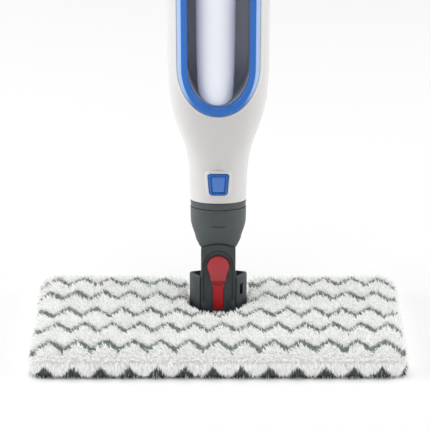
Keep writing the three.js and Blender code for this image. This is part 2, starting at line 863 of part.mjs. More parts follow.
// ---- Casing ----
const lowPostX = boilerRadius + boilerClear + postRadius;
const casingPosts = [[-lowPostX, 262], [lowPostX, 262], [-27, 628], [27, 628]];
const casingPost = ([x, z]) => rodY(postRadius, -far, far, x, z, 12);
const casingScrewFace = (z) => pivotY + casingHalfDepth(z) * 0.72;

function casingShell() {
  const outer = casingForm(0);
  const inner = casingForm(-casingWall);
  const posts = join(...casingPosts.map(casingPost)).intersect(casingForm(-0.5));
  const roof = slab({ z: [casingTop - 3, far] });
  const skin = cut(outer, cut(inner, roof), underJoint(0));
  const rim = cut(plateY(buttonOutline(3.4), 0, pivotY - 12), plateY(buttonOutline(buttonClear), 0, pivotY))
    .intersect(cut(casingForm(0.9), casingForm(-1)));
  const thumbScoop = solid(
    new THREE.SphereGeometry(13, 20, 12).scale(0.85, 0.34, 1).translate(0, pivotY - 36.1, buttonHigh + 4),
  );
  return cut(
    join(skin, posts, rim),
    windowPlug(frameLip + 0.4, -far, pivotY),
    plateY(buttonOutline(buttonClear), -far, pivotY - 12),
    cut(thumbScoop, inner),
    rodZ(poleRadius + gap, poleLow, far, 0, pivotY, 28),
    rodY(glandRadius + gap, pivotY, far, 0, glandZ, 16),
    ...casingPosts.map(([x, z]) => screwY(x, casingScrewFace(z), z, 42, gap)),
  );
}

const casingPart = (whole, front) =>
  whole.intersect(slab({ y: front ? [-far, pivotY - gap / 2] : [pivotY + gap / 2, far] }));

function windowFrame() {
  const band = cut(windowPlug(frameBand, -far, pivotY), windowPlug(0, -far, pivotY + 1));
  const raised = band.intersect(cut(casingForm(frameProud), casingForm(gap)));
  const lip = cut(windowPlug(frameLip, -far, pivotY), windowPlug(0, -far, pivotY + 1));
  const lipBand = lip.intersect(cut(casingForm(frameProud - 0.5), casingForm(-frameLipDeep)));
  return join(raised, lipBand);
}

function tankBay() {
  const cup = cut(
    windowPlug(frameLip, 0, bayBackY + bayWall),
    windowPlug(frameLip - bayWall, -far, bayBackY),
  );
  return cut(
    cup.intersect(casingForm(-frameLipDeep - gap)),
    rodY(outletRadius + 2.4 + gap, 0, far, tankX, outletZ, 16),
  );
}

function tankSeat() {
  const [inner, outer, flange] = [outletRadius + gap, outletRadius + 2.4, outletRadius + 4];
  const [step, end] = [bayWall + 1, bayWall + 3];
  return turnedY(
    [[inner, 0], [outer, 0], [outer, step], [flange, step], [flange, end], [inner, end], [inner, 0]],
    tankX, bayBackY - 0.6, outletZ,
  );
}

function socket() {
  const [inner, outer] = [spigotRadius + spigotClear, collarRadius - casingWall - socketClear];
  const [low, high] = [jointLevel + 13, boilerLow - 3];
  const window = slab({ x: mirrored(14), y: [0, pivotY - 16], z: [low - 1, high - 4] });
  const tube = cut(
    rodZ(outer, low, high, 0, pivotY, 32),
    rodZ(inner, low - 1, high - 4, 0, pivotY, 32),
    window,
    rodZ(nippleRadius + gap, 0, far, 0, pivotY, 16),
  );
  const beam = slab({ x: mirrored(inner + 0.5), y: [pivotY - 18, pivotY - 15], z: [183, 193] })
    .intersect(rodZ(inner + 0.6, 0, far, 0, pivotY, 32));
  return join(tube, beam);
}

// ---- Release button ----
const buttonFrontY = pivotY - casingHalfDepth((buttonLow + buttonHigh) / 2) - buttonProud;
const buttonBackY = buttonFrontY + buttonThick;
const beamFrontY = pivotY - 18;

function releaseButton() {
  const cap = plateY(buttonOutline(0), buttonFrontY, buttonBackY).intersect(casingForm(buttonProud));
  const dish = plateY(
    outline([[-7, buttonLow + 4], [7, buttonLow + 4], [8, buttonHigh - 4], [-8, buttonHigh - 4]]),
    0, buttonFrontY + 0.9,
  );
  return cut(cap, dish);
}

// The latch reaches over the spigot's rim and down inside it.
function latchHook() {
  const back = buttonBackY + gap;
  const inside = pivotY - spigotRadius + spigotWall + 1.5;
  const rim = spigotTop + 4;
  const profile = outline([
    [back, rim], [back, rim + 10], [back + 1.8, rim + 10], [back + 1.8, rim + 5],
    [inside + 2, rim + 5], [inside + 2, catchLow + 1], [inside, catchLow + 1], [inside, rim],
  ]);
  return plateX(profile, -6, 6);
}

// ---- Works inside ----
function boiler() {
  const body = turned(
    [
      [0, boilerLow + 4], [boilerRadius - 3, boilerLow + 4], [boilerRadius, boilerLow + 8],
      [boilerRadius, boilerHigh - 4], [boilerRadius - 3, boilerHigh], [0, boilerHigh],
    ],
    0, boilerY, 24,
  );
  const nipple = rodZ(nippleRadius - 0.4, stubTop - 3, boilerLow + 5, 0, pivotY, 16);
  const bore = rodZ(steamTubeRadius + gap, 0, boilerLow + 12, 0, pivotY, 12);
  const terminals = [-9, 9].map((x) =>
    slab({ x: [x - 2.5, x + 2.5], y: [boilerY - 13, boilerY - 12], z: [boilerHigh - 1, boilerHigh + 3] }));
  const inlet = rodZ(waterTubeRadius + gap, boilerHigh - 5, far, 0, pumpY, 10);
  return cut(join(body, nipple, ...terminals), bore, inlet);
}

function pump() {
  const body = rodZ(pumpRadius, pumpLow + 8, pumpHigh - 8, 0, pumpY, 20);
  const coil = slab({
    x: mirrored(pumpRadius + 2),
    y: [pumpY - pumpRadius - 2, pumpY + pumpRadius - 2],
    z: [pumpLow + 22, pumpHigh - 22],
  });
  const ends = rodZ(6, pumpLow, pumpHigh, 0, pumpY, 12);
  return join(body, coil, ends);
}

const waterTubeDown = () => rodZ(waterTubeRadius, boilerHigh - 4, pumpLow - gap, 0, pumpY, 10);

function waterTubeUp() {
  const start = bayBackY + bayWall + 3;
  return tubeAlong(
    [
      [tankX, start, outletZ],
      [tankX - 4, start + 6, outletZ + 2],
      [tankX - 20, start + 10, outletZ + 14],
      [-24, pumpY, (pumpLow + pumpHigh) / 2],
      [-20, pumpY, pumpHigh + 4],
      [-9, pumpY, pumpHigh + 16],
      [-1, pumpY, pumpHigh + 12],
      [0, pumpY, pumpHigh + gap],
    ],
    waterTubeRadius, 22,
  );
}

function controlBoard() {
  const y = pumpY - 4;
  return join(
    slab({ x: mirrored(24), y: [y, y + 1.6], z: [boardLow, boardHigh] }),
    slab({ x: [-18, -2], y: [y + 1, y + 14], z: [boardLow + 12, boardLow + 34] }),
    rodY(6, y + 1, y + 13, 12, boardLow + 28, 12),
    slab({ x: [4, 18], y: [y + 1, y + 9], z: [boardHigh - 34, boardHigh - 14] }),
  );
}

// ---- Water tank ----
function tankForm(shrink) {
  const foot = windowLow - 6 + shrink;
  const rings = [
    [foot, -tankTaper - 1.5],
    [foot + 10, -tankTaper - 0.6],
    [foot + 40, -tankTaper * 0.6],
    [foot + 90, -tankTaper * 0.2],
    [foot + 150, 0],
    [tankTop - 12 - shrink, 0],
    [tankTop - 4 - shrink, -1.4],
    [tankTop - shrink, -5],
  ].map(([z, wider]) => ({
    z, x: tankX, y: tankY, n: 2.5,
    a: tankHalfWidth + wider - shrink,
    b: tankHalfDepth + wider * 0.6 - shrink,
  }));
  return loft(rings, 24);
}

function tankShell() {
  const outside = tankForm(0).intersect(windowPlug(-tankClear, -far, far));
  const inside = tankForm(tankWall).intersect(windowPlug(-tankClear - tankWall * 1.5, -far, far));
  const filler = rodZ(fillerRadius, tankTop - 3, tankTop + fillerHeight, tankX, tankY, 24);
  return cut(
    join(cut(outside, inside), filler),
    rodZ(fillerRadius - tankWall, tankTop - 5, far, tankX, tankY, 24),
    rodY(outletRadius - 0.6, tankY, far, tankX, outletZ, 16),
  );
}

function tankCap() {
  const low = tankTop + fillerHeight - 5;
  const high = low + capHeight;
  const roof = high - 3;
  const plug = fillerRadius - tankWall - 0.4;
  return turned(
    [
      [0, roof - 5], [plug, roof - 5], [plug, roof], [fillerRadius + 0.4, roof], [fillerRadius + 0.4, low],
      [capRadius, low], [capRadius, high - 1.5], [capRadius - 1.5, high], [0, high],
    ],
    tankX, tankY, 24,
  );
}

function tankOutlet() {
  const wallY = tankY + tankHalfDepth;
  const [spout, bore] = [outletRadius, outletRadius - 1.6];
  return turnedY(
    [
      [bore, -4], [spout - 1, -4], [spout - 1, 0.5], [spout, 0.5], [spout, bayBackY - wallY + 3],
      [bore, bayBackY - wallY + 3], [bore, -4],
    ],
    tankX, wallY, outletZ,
  );
}

// ---- Handle ----
function pole() {
  return cut(
    rodZ(poleRadius, poleLow, poleHigh, 0, pivotY, 28),
    rodZ(poleRadius - poleWall, 0, far, 0, pivotY, 28),
  );
}

function poleCollar() {
  const [low, high] = [casingTop + gap, casingTop + 15];
  const inner = poleRadius + gap;
  return turned(
    [
      [inner, low], [inner + 4.6, low], [inner + 4.2, high - 4],
      [inner + 1.8, high], [inner, high], [inner, low],
    ],
    0, pivotY, 28,
  );
}

const gripAt = smooth(
  gripStations.map(([h, wide, deep, lean]) => [h, poleRadius + wide, poleRadius + deep, lean]),
);

function gripForm(shrink) {
  const heights = levelsOf(gripStations, 18);
  const rings = heights.map((h) => {
    const [a, b, lean] = gripAt(h);
    const z = gripLow + Math.min(h, gripStations.at(-1)[0] - shrink) + (h === 0 ? shrink : 0);
    return { z, y: pivotY + lean, a: Math.max(a - shrink, 1), b: Math.max(b - shrink, 1), n: 2.2 };
  });
  return loft(rings, 20);
}

function gripShell() {
  const lensY = pivotY + gripAt(lensZ - gripLow)[2];
  return cut(
    gripForm(0),
    gripForm(gripWall),
    rodZ(poleRadius + gap, 0, poleHigh + gap, 0, pivotY, 28),
    slab({ x: mirrored(triggerHalfWidth + 0.5), y: [0, pivotY], z: [triggerLow - 0.5, triggerHigh + 0.5] }),
    rodY(lensRadius + gap, lensY, far, 0, lensZ, 16),
  );
}

const gripPart = (whole, side) =>
  whole.intersect(slab({ x: side < 0 ? [-far, -gap / 2] : [gap / 2, far] }));

const triggerMid = (triggerLow + triggerHigh) / 2 - gripLow;
const triggerFrontY = pivotY + gripAt(triggerMid)[2] - gripAt(triggerMid)[1] - triggerProud;
const triggerBackY = triggerFrontY + triggerDeep;

function trigger() {
  const [low, high] = [triggerLow, triggerHigh];
  const shape = new THREE.Shape();
  shape.moveTo(triggerBackY, low);
  shape.lineTo(triggerBackY, high);
  shape.lineTo(triggerFrontY + 5, high);
  shape.quadraticCurveTo(triggerFrontY - 1, high - 4, triggerFrontY + 1.6, (low + high) / 2);
  shape.quadraticCurveTo(triggerFrontY + 3, low + 10, triggerFrontY, low + 4);
  shape.lineTo(triggerFrontY + 3, low);
  return plateX(shape, -triggerHalfWidth, triggerHalfWidth);
}

const switchY = triggerBackY + triggerTravel + 3;

function triggerSwitch() {
  const y = switchY;
  const z = (triggerLow + triggerHigh) / 2;
  return join(
    slab({ x: mirrored(3), y: [y, y + 9], z: [z - 9, z + 9] }),
    slab({ x: mirrored(1.4), y: [y - 1.6, y + 1], z: [z - 6, z - 3] }),
  );
}

function readyLens() {
  const [a, b, lean] = gripAt(lensZ - gripLow);
  const surface = pivotY + lean + b;
  return turnedY(
    [[0, -5], [lensRadius, -5], [lensRadius, 0.2], [lensRadius * 0.7, 1.2], [0, 1.6]],
    0, surface, lensZ, 14,
  );
}

// ---- Cord hooks and gland ----
// An arm that reaches back from y0 and turns up or down at its end.
function hookArm(y0, z, up) {
  const lipY = y0 + hookReach;
  const [low, high] = up ? [z, z + hookLip] : [z - hookLip, z];
  const [armLow, armHigh] = up ? [z, z + hookThick] : [z - hookThick, z];
  return join(
    slab({ x: mirrored(hookHalfWidth * 0.7), y: [y0 - 0.1, lipY + hookThick], z: [armLow, armHigh] }),
    slab({ x: mirrored(hookHalfWidth), y: [lipY, lipY + hookThick], z: [low, high] }),
  );
}

const lowerHookFace = pivotY + casingHalfDepth(lowerHookZ) + 2;

function lowerHook() {
  const foot = slab({
    x: mirrored(hookHalfWidth), y: [pivotY + casingHalfDepth(lowerHookZ) - 6, lowerHookFace],
    z: [lowerHookZ - hookThick - 6, lowerHookZ + 4],
  });
  return cut(join(foot, hookArm(lowerHookFace, lowerHookZ, false)), casingForm(gap));
}

const bracketBackY = pivotY + poleRadius + gap + bracketWall + 2;

function hookBracket() {
  const [low, high] = [upperHookZ - bracketHalfHeight, upperHookZ + bracketHalfHeight];
  const ring = rodZ(poleRadius + gap + bracketWall, low, high, 0, pivotY, 28);
  const boss = rodY(hubRadius, pivotY + 4, bracketBackY, 0, upperHookZ, 20);
  return cut(
    join(ring, boss),
    rodZ(poleRadius + gap, 0, far, 0, pivotY, 28),
    rodY(screwShank + gap, pivotY, far, 0, upperHookZ, 10),
  );
}

const hubFace = bracketBackY + gap + 4;

function upperHook() {
  const hub = rodY(hubRadius, bracketBackY + gap, hubFace, 0, upperHookZ, 20);
  const arm = hookArm(hubFace, upperHookZ + hubRadius - hookThick, true);
  const web = slab({
    x: mirrored(hookHalfWidth * 0.7), y: [bracketBackY + gap, hubFace],
    z: [upperHookZ, upperHookZ + hubRadius],
  });
  return cut(join(hub, arm, web), rodY(screwShank + runClear, 0, far, 0, upperHookZ, 10));
}

function hookPin() {
  const start = pivotY + poleRadius + gap + 0.9;
  const shank = hubFace + gap - start;
  const end = shank + 1.8;
  return turnedY(
    [[0, 0], [screwShank, 0], [screwShank, shank], [screwHead, shank], [screwHead, end], [0, end]],
    0, start, upperHookZ, 10,
  );
}

function cordGland() {
  const wallY = pivotY + casingHalfDepth(glandZ);
  const inside = pivotY + poleRadius + 2 - wallY;
  const [flange, step] = [glandRadius + 1.6, inside + 2.2];
  return turnedY(
    [
      [glandBore, inside], [flange, inside], [flange, step], [glandRadius, step],
      [glandRadius, 1], [glandBore + 1.4, glandLength], [glandBore, glandLength], [glandBore, inside],
    ],
    0, wallY, glandZ,
  );
}

// ---- Assembly ----
const finish = (name, color, roughness, metalness = 0) =>
  new THREE.MeshStandardMaterial({ name, color, roughness, metalness });
const finishes = {
  white: finish('white gloss ABS', 0xe9e8e6, 0.25),
  blue: finish('blue gloss ABS', 0x2f6fc4, 0.25),
  charcoal: finish('charcoal ABS', 0x2c2d31, 0.45),
  neck: finish('dark grey ABS', 0x4b5254, 0.45),
  red: finish('red gloss ABS', 0xc12a32, 0.35),
  tank: finish('frosted polypropylene', 0xe2e5f2, 0.4),
  pile: finish('microfibre pile', 0xf4f4f2, 0.95),
  rubber: finish('black rubber', 0x1d1e20, 0.8),
  steel: finish('steel', 0xb9bcc0, 0.3, 1),
  cast: finish('cast aluminium', 0xa9abad, 0.5, 1),
  board: finish('circuit board', 0x1f6b45, 0.5),
  tube: finish('silicone tube', 0xd8d3c8, 0.5),
  pole: finish('coated aluminium', 0xdcdde0, 0.3, 0.2),
  lens: finish('green lens', 0x7fd68c, 0.2),
};

const root = new THREE.Group();

function add(name, part, finishName) {
  const { vertProperties, triVerts } = part.getMesh();
  const geometry = new THREE.BufferGeometry();
  geometry.setAttribute('position', new THREE.BufferAttribute(new Float32Array(vertProperties), 3));
  geometry.setIndex(new THREE.BufferAttribute(new Uint32Array(triVerts), 1));
  geometry.computeVertexNormals();
  const mesh = new THREE.Mesh(geometry, finishes[finishName]);
  mesh.name = name;
  root.add(mesh);
}

const covers = headCovers();
add('head_top_cover', covers.top, 'charcoal');
add('head_bottom_cover', covers.bottom, 'charcoal');
add('steam_distributor', steamDistributor(), 'charcoal');
add('steam_feed_pipe', feedPipe(), 'tube');
add('pivot_pin', pivotPin(), 'steel');
headScrewPlaces.forEach(([x, y], i) => add(`head_screw_${i + 1}`, headScrew(x, y), 'steel'));
add('mop_pad', padPocket(), 'pile');

const wholeHousing = housing();
add('housing_front', housingPart(wholeHousing, true), 'neck');
add('housing_rear', housingPart(wholeHousing, false), 'neck');
add('pivot_bush_left', pivotBush(-1), 'tube');
add('pivot_bush_right', pivotBush(1), 'tube');
add('housing_steam_tube',
  rodZ(steamTubeRadius, pivotZ + pivotPinRadius + 1.2, swivelZ - tongueHub - 2, 0, pivotY, 10), 'tube');
add('swivel_pin', rodY(swivelPinRadius, leverWayY + 1.5, clevisRearY - 2, 0, swivelZ), 'steel');
housingScrewPlaces.forEach(([x, z], i) =>
  add(`housing_screw_${i + 1}`, screwY(x, clevisRearY - 1.2, z, 29), 'steel'));
add('lever_pin',
  rodX(leverPinRadius, -clevisHalfWidth + 3.5, clevisHalfWidth - 3.5, leverPinY, leverPinZ, 12), 'steel');
add('lever_spring', spring(2.2, 0.45, paddleBackY + gap, leverWayY - gap, 0, paddleZ + 8, 3), 'steel');
add('lock_lever', lockLever(), 'red');

add('collar_shell', collarShell(), 'neck');
add('collar_trim', collarTrim(), 'neck');
add('collar_core', collarCore(), 'charcoal');
add('collar_steam_tube', collarSteamTube(), 'tube');
add('stub_seal', stubSeal(), 'rubber');

const wholeCasing = casingShell();
add('front_casing', casingPart(wholeCasing, true), 'white');
add('rear_casing', casingPart(wholeCasing, false), 'white');
casingPosts.forEach(([x, z], i) =>
  add(`casing_screw_${i + 1}`, screwY(x, casingScrewFace(z), z, 41), 'steel'));
add('window_frame', windowFrame(), 'blue');
add('tank_bay', tankBay(), 'charcoal');
add('tank_seat', tankSeat(), 'rubber');
add('body_socket', socket(), 'charcoal');
add('release_button', releaseButton(), 'blue');
add('latch_hook', latchHook(), 'charcoal');
add('button_spring', spring(3, 0.5, buttonBackY + gap, beamFrontY - gap, 0, 191, 4), 'steel');
add('boiler', boiler(), 'cast');
add('water_pump', pump(), 'charcoal');
add('boiler_water_tube', waterTubeDown(), 'tube');
add('tank_water_tube', waterTubeUp(), 'tube');
add('control_board', controlBoard(), 'board');

add('tank_shell', tankShell(), 'tank');
add('tank_outlet', tankOutlet(), 'tube');
add('tank_cap', tankCap(), 'blue');

add('handle_pole', pole(), 'pole');
add('pole_collar', poleCollar(), 'neck');
const wholeGrip = gripShell();
add('grip_left', gripPart(wholeGrip, -1), 'neck');
add('grip_right', gripPart(wholeGrip, 1), 'neck');
add('steam_trigger', trigger(), 'blue');
add('trigger_spring',
  spring(3, 0.5, triggerBackY + gap, switchY - gap, 0, (triggerLow + triggerHigh) / 2 + 4, 3), 'steel');
add('trigger_switch', triggerSwitch(), 'rubber');
add('ready_lens', readyLens(), 'lens');
add('lower_cord_hook', lowerHook(), 'neck');
add('hook_bracket', hookBracket(), 'neck');
add('upper_cord_hook', upperHook(), 'neck');
add('hook_pin', hookPin(), 'steel');
add('cord_gland', cordGland(), 'rubber');

export default root;
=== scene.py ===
# Steam mop: the looks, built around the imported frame. Lengths in the dictionaries are millimetres.
import json
import math

import bpy
import numpy as np
from mathutils import Matrix, Vector

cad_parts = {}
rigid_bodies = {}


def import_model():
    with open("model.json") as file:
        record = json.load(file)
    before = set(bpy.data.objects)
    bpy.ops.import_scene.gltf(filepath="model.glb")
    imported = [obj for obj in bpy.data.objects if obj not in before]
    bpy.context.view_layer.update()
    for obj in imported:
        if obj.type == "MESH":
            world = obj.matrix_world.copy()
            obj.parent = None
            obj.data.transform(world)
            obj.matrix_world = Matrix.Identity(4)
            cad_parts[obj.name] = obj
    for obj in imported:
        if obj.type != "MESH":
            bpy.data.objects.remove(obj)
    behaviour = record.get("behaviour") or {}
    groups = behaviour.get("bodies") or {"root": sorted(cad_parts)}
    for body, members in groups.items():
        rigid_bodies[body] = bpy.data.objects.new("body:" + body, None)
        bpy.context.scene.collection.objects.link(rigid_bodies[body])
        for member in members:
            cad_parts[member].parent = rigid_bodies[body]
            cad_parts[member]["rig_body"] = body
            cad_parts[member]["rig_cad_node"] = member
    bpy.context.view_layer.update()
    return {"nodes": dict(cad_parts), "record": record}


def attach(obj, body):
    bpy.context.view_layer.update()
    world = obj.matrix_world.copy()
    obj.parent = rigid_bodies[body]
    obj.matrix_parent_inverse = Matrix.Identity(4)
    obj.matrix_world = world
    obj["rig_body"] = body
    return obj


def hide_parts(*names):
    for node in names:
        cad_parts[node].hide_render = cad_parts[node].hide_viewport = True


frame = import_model()
nodes = frame["nodes"]
mm = 0.001


# ---- camera ----
view = {"x": -3.7, "y": -2088, "z": 1345, "down": 29.6, "lens": 181.3}
camera = bpy.data.objects.new("camera", bpy.data.cameras.new("camera"))
bpy.context.scene.collection.objects.link(camera)
camera.location = Vector((view["x"], view["y"], view["z"])) * mm
camera.rotation_euler = (math.radians(90 - view["down"]), 0, 0)
camera.data.lens = view["lens"]
camera.data.sensor_width = 36
camera.data.clip_end = 50
bpy.context.scene.camera = camera
bpy.context.scene.view_settings.view_transform = "Standard"


# ---- small helpers ----
def clearSelection():
    if bpy.context.object and bpy.context.object.mode != "OBJECT":
        bpy.ops.object.mode_set(mode="OBJECT")
    bpy.ops.object.select_all(action="DESELECT")


def makeActive(obj):
    clearSelection()
    obj.select_set(True)
    bpy.context.view_layer.objects.active = obj


def editAll(obj):
    makeActive(obj)
    bpy.ops.object.mode_set(mode="EDIT")
    bpy.ops.mesh.select_mode(type="VERT")
    bpy.ops.mesh.select_all(action="SELECT")


def leaveEdit():
    bpy.ops.object.mode_set(mode="OBJECT")


def applyModifier(obj, kind, **settings):
    makeActive(obj)
    modifier = obj.modifiers.new(kind.lower(), kind)
    for key, value in settings.items():
        setattr(modifier, key, value)
    bpy.ops.object.modifier_apply(modifier=modifier.name)


def boolean(obj, other, operation="DIFFERENCE"):
    applyModifier(obj, "BOOLEAN", operation=operation, solver="EXACT", object=other)
    bpy.data.objects.remove(other)


def bevel(obj, width, segments=2, angle=35):
    applyModifier(
        obj, "BEVEL", width=width * mm, segments=segments, limit_method="ANGLE",
        angle_limit=math.radians(angle))


# Keeps the side of a plane that its normal points to; the cut is left open or filled.
def bisect(obj, point, normal, fill=False):
    editAll(obj)
    bpy.ops.mesh.bisect(
        plane_co=Vector(point) * mm, plane_no=normal, use_fill=fill, clear_inner=True, threshold=1e-7
    )
    leaveEdit()


# A grid whose rows are laid on the given rings of points; its two side edges meet and merge.
def skin(name, rings, fill=True, closed=False):
    if closed:
        rings = rings + [rings[0]]
    rows = len(rings) - 1
    count = len(rings[0])
    clearSelection()
    bpy.ops.mesh.primitive_grid_add(x_subdivisions=count, y_subdivisions=rows, size=1)
    obj = bpy.context.object
    obj.name = name
    for vertex in obj.data.vertices:
        column = round((vertex.co.x + 0.5) * count) % count
        row = round((vertex.co.y + 0.5) * rows)
        vertex.co = Vector(rings[row][column]) * mm
    editAll(obj)
    bpy.ops.mesh.remove_doubles(threshold=1e-6)
    if fill and not closed:
        bpy.ops.mesh.select_all(action="DESELECT")
        bpy.ops.mesh.select_non_manifold()
        bpy.ops.mesh.fill_holes(sides=0)
        bpy.ops.mesh.select_all(action="SELECT")
    bpy.ops.mesh.normals_make_consistent(inside=False)
    leaveEdit()
    return obj


def addBox(low, high):
    clearSelection()
    bpy.ops.mesh.primitive_cube_add(size=1)
    obj = bpy.context.object
    low = Vector(low)
    high = Vector(high)
    for vertex in obj.data.vertices:
        vertex.co = Vector(low[k] + (vertex.co[k] + 0.5) * (high[k] - low[k]) for k in range(3)) * mm
    return obj


# A cylinder from one end point to the other.
def addRod(radius, start, end, sides=64):
    start = Vector(start) * mm
    end = Vector(end) * mm
    along = end - start
    clearSelection()
    bpy.ops.mesh.primitive_cylinder_add(
        vertices=sides, radius=radius * mm, depth=along.length,
        location=(start + end) / 2, rotation=along.to_track_quat("Z", "Y").to_euler(),
    )
    obj = bpy.context.object
    bpy.ops.object.transform_apply(location=True, rotation=True, scale=True)
    return obj


# A merged copy of a CAD node with rounded edges.
def softened(node, width, segments=2, angle=35):
    obj = nodes[node].copy()
    obj.data = nodes[node].data.copy()
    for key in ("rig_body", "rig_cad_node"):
        if key in obj:
            del obj[key]
    obj.parent = None
    bpy.context.scene.collection.objects.link(obj)
    editAll(obj)
    bpy.ops.mesh.remove_doubles(threshold=2e-6)
    bpy.ops.mesh.dissolve_limited(angle_limit=math.radians(0.5))
    leaveEdit()
    if width:
        bevel(obj, width, segments, angle)
    return obj


# Names the piece, gives it its finish and body, and hides the CAD nodes it stands for.
def place(obj, name, material, body, stands=(), angle=32):
    obj.name = name
    obj.data.name = name
    makeActive(obj)
    bpy.ops.object.shade_smooth_by_angle(angle=math.radians(angle))
    obj.data.materials.clear()
    obj.data.materials.append(material)
    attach(obj, body)
    if stands:
        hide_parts(*stands)
    return obj


# Smooth values between stations of (position, values...), level at both ends.
def smooth(stations):
    at = np.array([row[0] for row in stations], float)
    values = np.array([row[1:] for row in stations], float)
    slopes = np.zeros_like(values)
    slopes[1:-1] = (values[2:] - values[:-2]) / (at[2:] - at[:-2])[:, None]

    def evaluate(position):
        k = int(np.clip(np.searchsorted(at, position) - 1, 0, len(at) - 2))
        span = at[k + 1] - at[k]
        t = (position - at[k]) / span
        return (
            values[k] * (2 * t**3 - 3 * t**2 + 1) + slopes[k] * span * (t**3 - 2 * t**2 + t)
            + values[k + 1] * (3 * t**2 - 2 * t**3) + slopes[k + 1] * span * (t**3 - t**2)
        )
    return evaluate


def superellipse(x, y, z, a, b, n, sides):
    turn = (np.arange(sides) + 0.5) / sides * 2 * math.pi
    c = np.cos(turn)
    s = np.sin(turn)
    return [
        (x + a * math.copysign(abs(p) ** (2 / n), p), y + b * math.copysign(abs(q) ** (2 / n), q), z)
        for p, q in zip(c, s)
    ]


# ---- material helpers ----
def linear(code):
    values = [int(code[k:k + 2], 16) / 255 for k in (1, 3, 5)]
    return tuple(v / 12.92 if v <= 0.04045 else ((v + 0.055) / 1.055) ** 2.4 for v in values) + (1,)


def addNode(material, kind, inputs=None, **settings):
    node = material.node_tree.nodes.new(kind)
    for key, value in settings.items():
        setattr(node, key, value)
    for key, value in (inputs or {}).items():
        if isinstance(value, bpy.types.NodeSocket):
            material.node_tree.links.new(value, node.inputs[key])
        else:
            node.inputs[key].default_value = value
    return node


def newMaterial(name, **shader):
    material = bpy.data.materials.new(name)
    material.use_nodes = True
    surface = material.node_tree.nodes["Principled BSDF"]
    for key, value in shader.items():
        surface.inputs[key.replace("_", " ")].default_value = value
    return material


def shaderInput(material, name):
    return material.node_tree.nodes["Principled BSDF"].inputs[name]


def feed(material, name, socket):
    material.node_tree.links.new(socket, shaderInput(material, name))


def objectPlace(material):
    return addNode(material, "ShaderNodeTexCoord").outputs["Object"]


# Maps a value from one span to another; the result is held inside the second.
def ranged(material, value, low, high, toLow=0, toHigh=1, **settings):
    inputs = {"Value": value, "From Min": low, "From Max": high, "To Min": toLow, "To Max": toHigh}
    return addNode(material, "ShaderNodeMapRange", inputs, **settings).outputs["Result"]


# Raises the surface by a height socket; the distance is in millimetres.
def addBump(material, height, strength, distance):
    bump = addNode(material, "ShaderNodeBump", {
        "Height": height, "Strength": strength, "Distance": distance * mm})
    feed(material, "Normal", bump.outputs["Normal"])


# Blends two colours by a factor and returns the socket that carries the result.
def mixColours(material, factor, first, second, blend="MIX"):
    colours = {0: factor, 6: first, 7: second}
    return addNode(material, "ShaderNodeMix", colours, data_type="RGBA", blend_type=blend).outputs[2]


# Moulded plastic: a fine grain in the gloss, a faint waviness of the mould and slight dirt in the colour.
def moulded(name, colour, roughness, grain=0.9, grainDepth=0.012, mottling=0.04, **shader):
    material = newMaterial(name, Base_Color=linear(colour), Roughness=roughness, **shader)
    where = objectPlace(material)
    fine = addNode(material, "ShaderNodeTexNoise", {"Vector": where, "Scale": 1 / (grain * mm), "Detail": 3})
    broad = addNode(material, "ShaderNodeTexNoise", {"Vector": where, "Scale": 1 / (38 * mm), "Detail": 4})
    tint = ranged(material, broad.outputs["Fac"], 0.3, 0.7)
    worn = tuple(v * (1 - mottling) for v in linear(colour)[:3]) + (1,)
    feed(material, "Base Color", mixColours(material, tint, worn, linear(colour)))
    gloss = ranged(material, fine.outputs["Fac"], 0.3, 0.7, roughness * 0.88, min(1, roughness * 1.15))
    feed(material, "Roughness", gloss)
    addBump(material, fine.outputs["Fac"], 0.5, grainDepth)
    return material


# ---- finishes ----
# Gloss ABS from a polished mould: a bright, slightly soft reflection and a warm white.
whiteAbs = moulded("moulded_gloss_abs_white", "#e6e4e2", 0.3, grainDepth=0.004, mottling=0.015)
# The same in blue, a little glossier.
blueAbs = moulded("moulded_gloss_abs_blue", "#1468c8", 0.26, grainDepth=0.004, mottling=0.03)
# Spark-eroded ABS: a fine even grain that keeps the highlights broad.
# The bay's pale slate colour is painted light: it lightens the charcoal of the deep recess to stand in for
# light reaching into it.
bayAbs = moulded("moulded_matt_abs_paled_by_painted_light", "#b0b3be", 0.5, grain=0.8, grainDepth=0.03, mottling=0.06)
charcoalAbs = moulded("moulded_matt_abs_charcoal", "#3b3d43", 0.5, grain=0.8, grainDepth=0.03, mottling=0.08)
# Glass-filled nylon: a cool grey, a little paler where the glass shows.
neckNylon = moulded("moulded_glass_nylon_grey", "#4c5355", 0.46, grain=0.7, grainDepth=0.03, mottling=0.08)
# Satin ABS under the lever's own material, which adds painted light.
redAbs = moulded("moulded_satin_abs_red", "#b51d28", 0.38, grainDepth=0.008, mottling=0.1)


# Frosted polypropylene: milky and bluish, softly glossy. The glow is painted light, standing in for light
# scattered in its walls.
def frostedPlastic(glow):
    material = moulded(
        "blown_polypropylene_frosted", glow["body"], 0.34, grain=1.6, grainDepth=0.01, mottling=0.03,
        Emission_Strength=glow["strength"])
    across = addNode(material, "ShaderNodeSeparateXYZ", {0: objectPlace(material)}).outputs["X"]
    offset = addNode(material, "ShaderNodeMath", {0: across, 1: glow["x"] * mm}, operation="SUBTRACT")
    distance = addNode(material, "ShaderNodeMath", {0: offset.outputs[0]}, operation="ABSOLUTE")
    # This mask runs the painted glow from its lit middle colour to a painted-shade grey at the walls.
    wallShade = ranged(
        material, distance.outputs[0], glow["from"] * mm, glow["to"] * mm, interpolation_type="SMOOTHSTEP")
    feed(material, "Emission Color", mixColours(material, wallShade, linear(glow["middle"]), linear(glow["edge"])))
    return material


# Painted light: the glow is brightest along its middle, and painted shade dims it towards its walls.
frostedTank = frostedPlastic({
    "body": "#eceef6", "strength": 0.27, "x": -3, "from": 1, "to": 21, "middle": "#eef2ff",
    "edge": "#565860"})
# Moulded rubber: dull black with hardly a highlight.
blackRubber = moulded("moulded_nitrile_rubber", "#1d1e20", 0.78, grain=0.6, grainDepth=0.02, mottling=0.15)
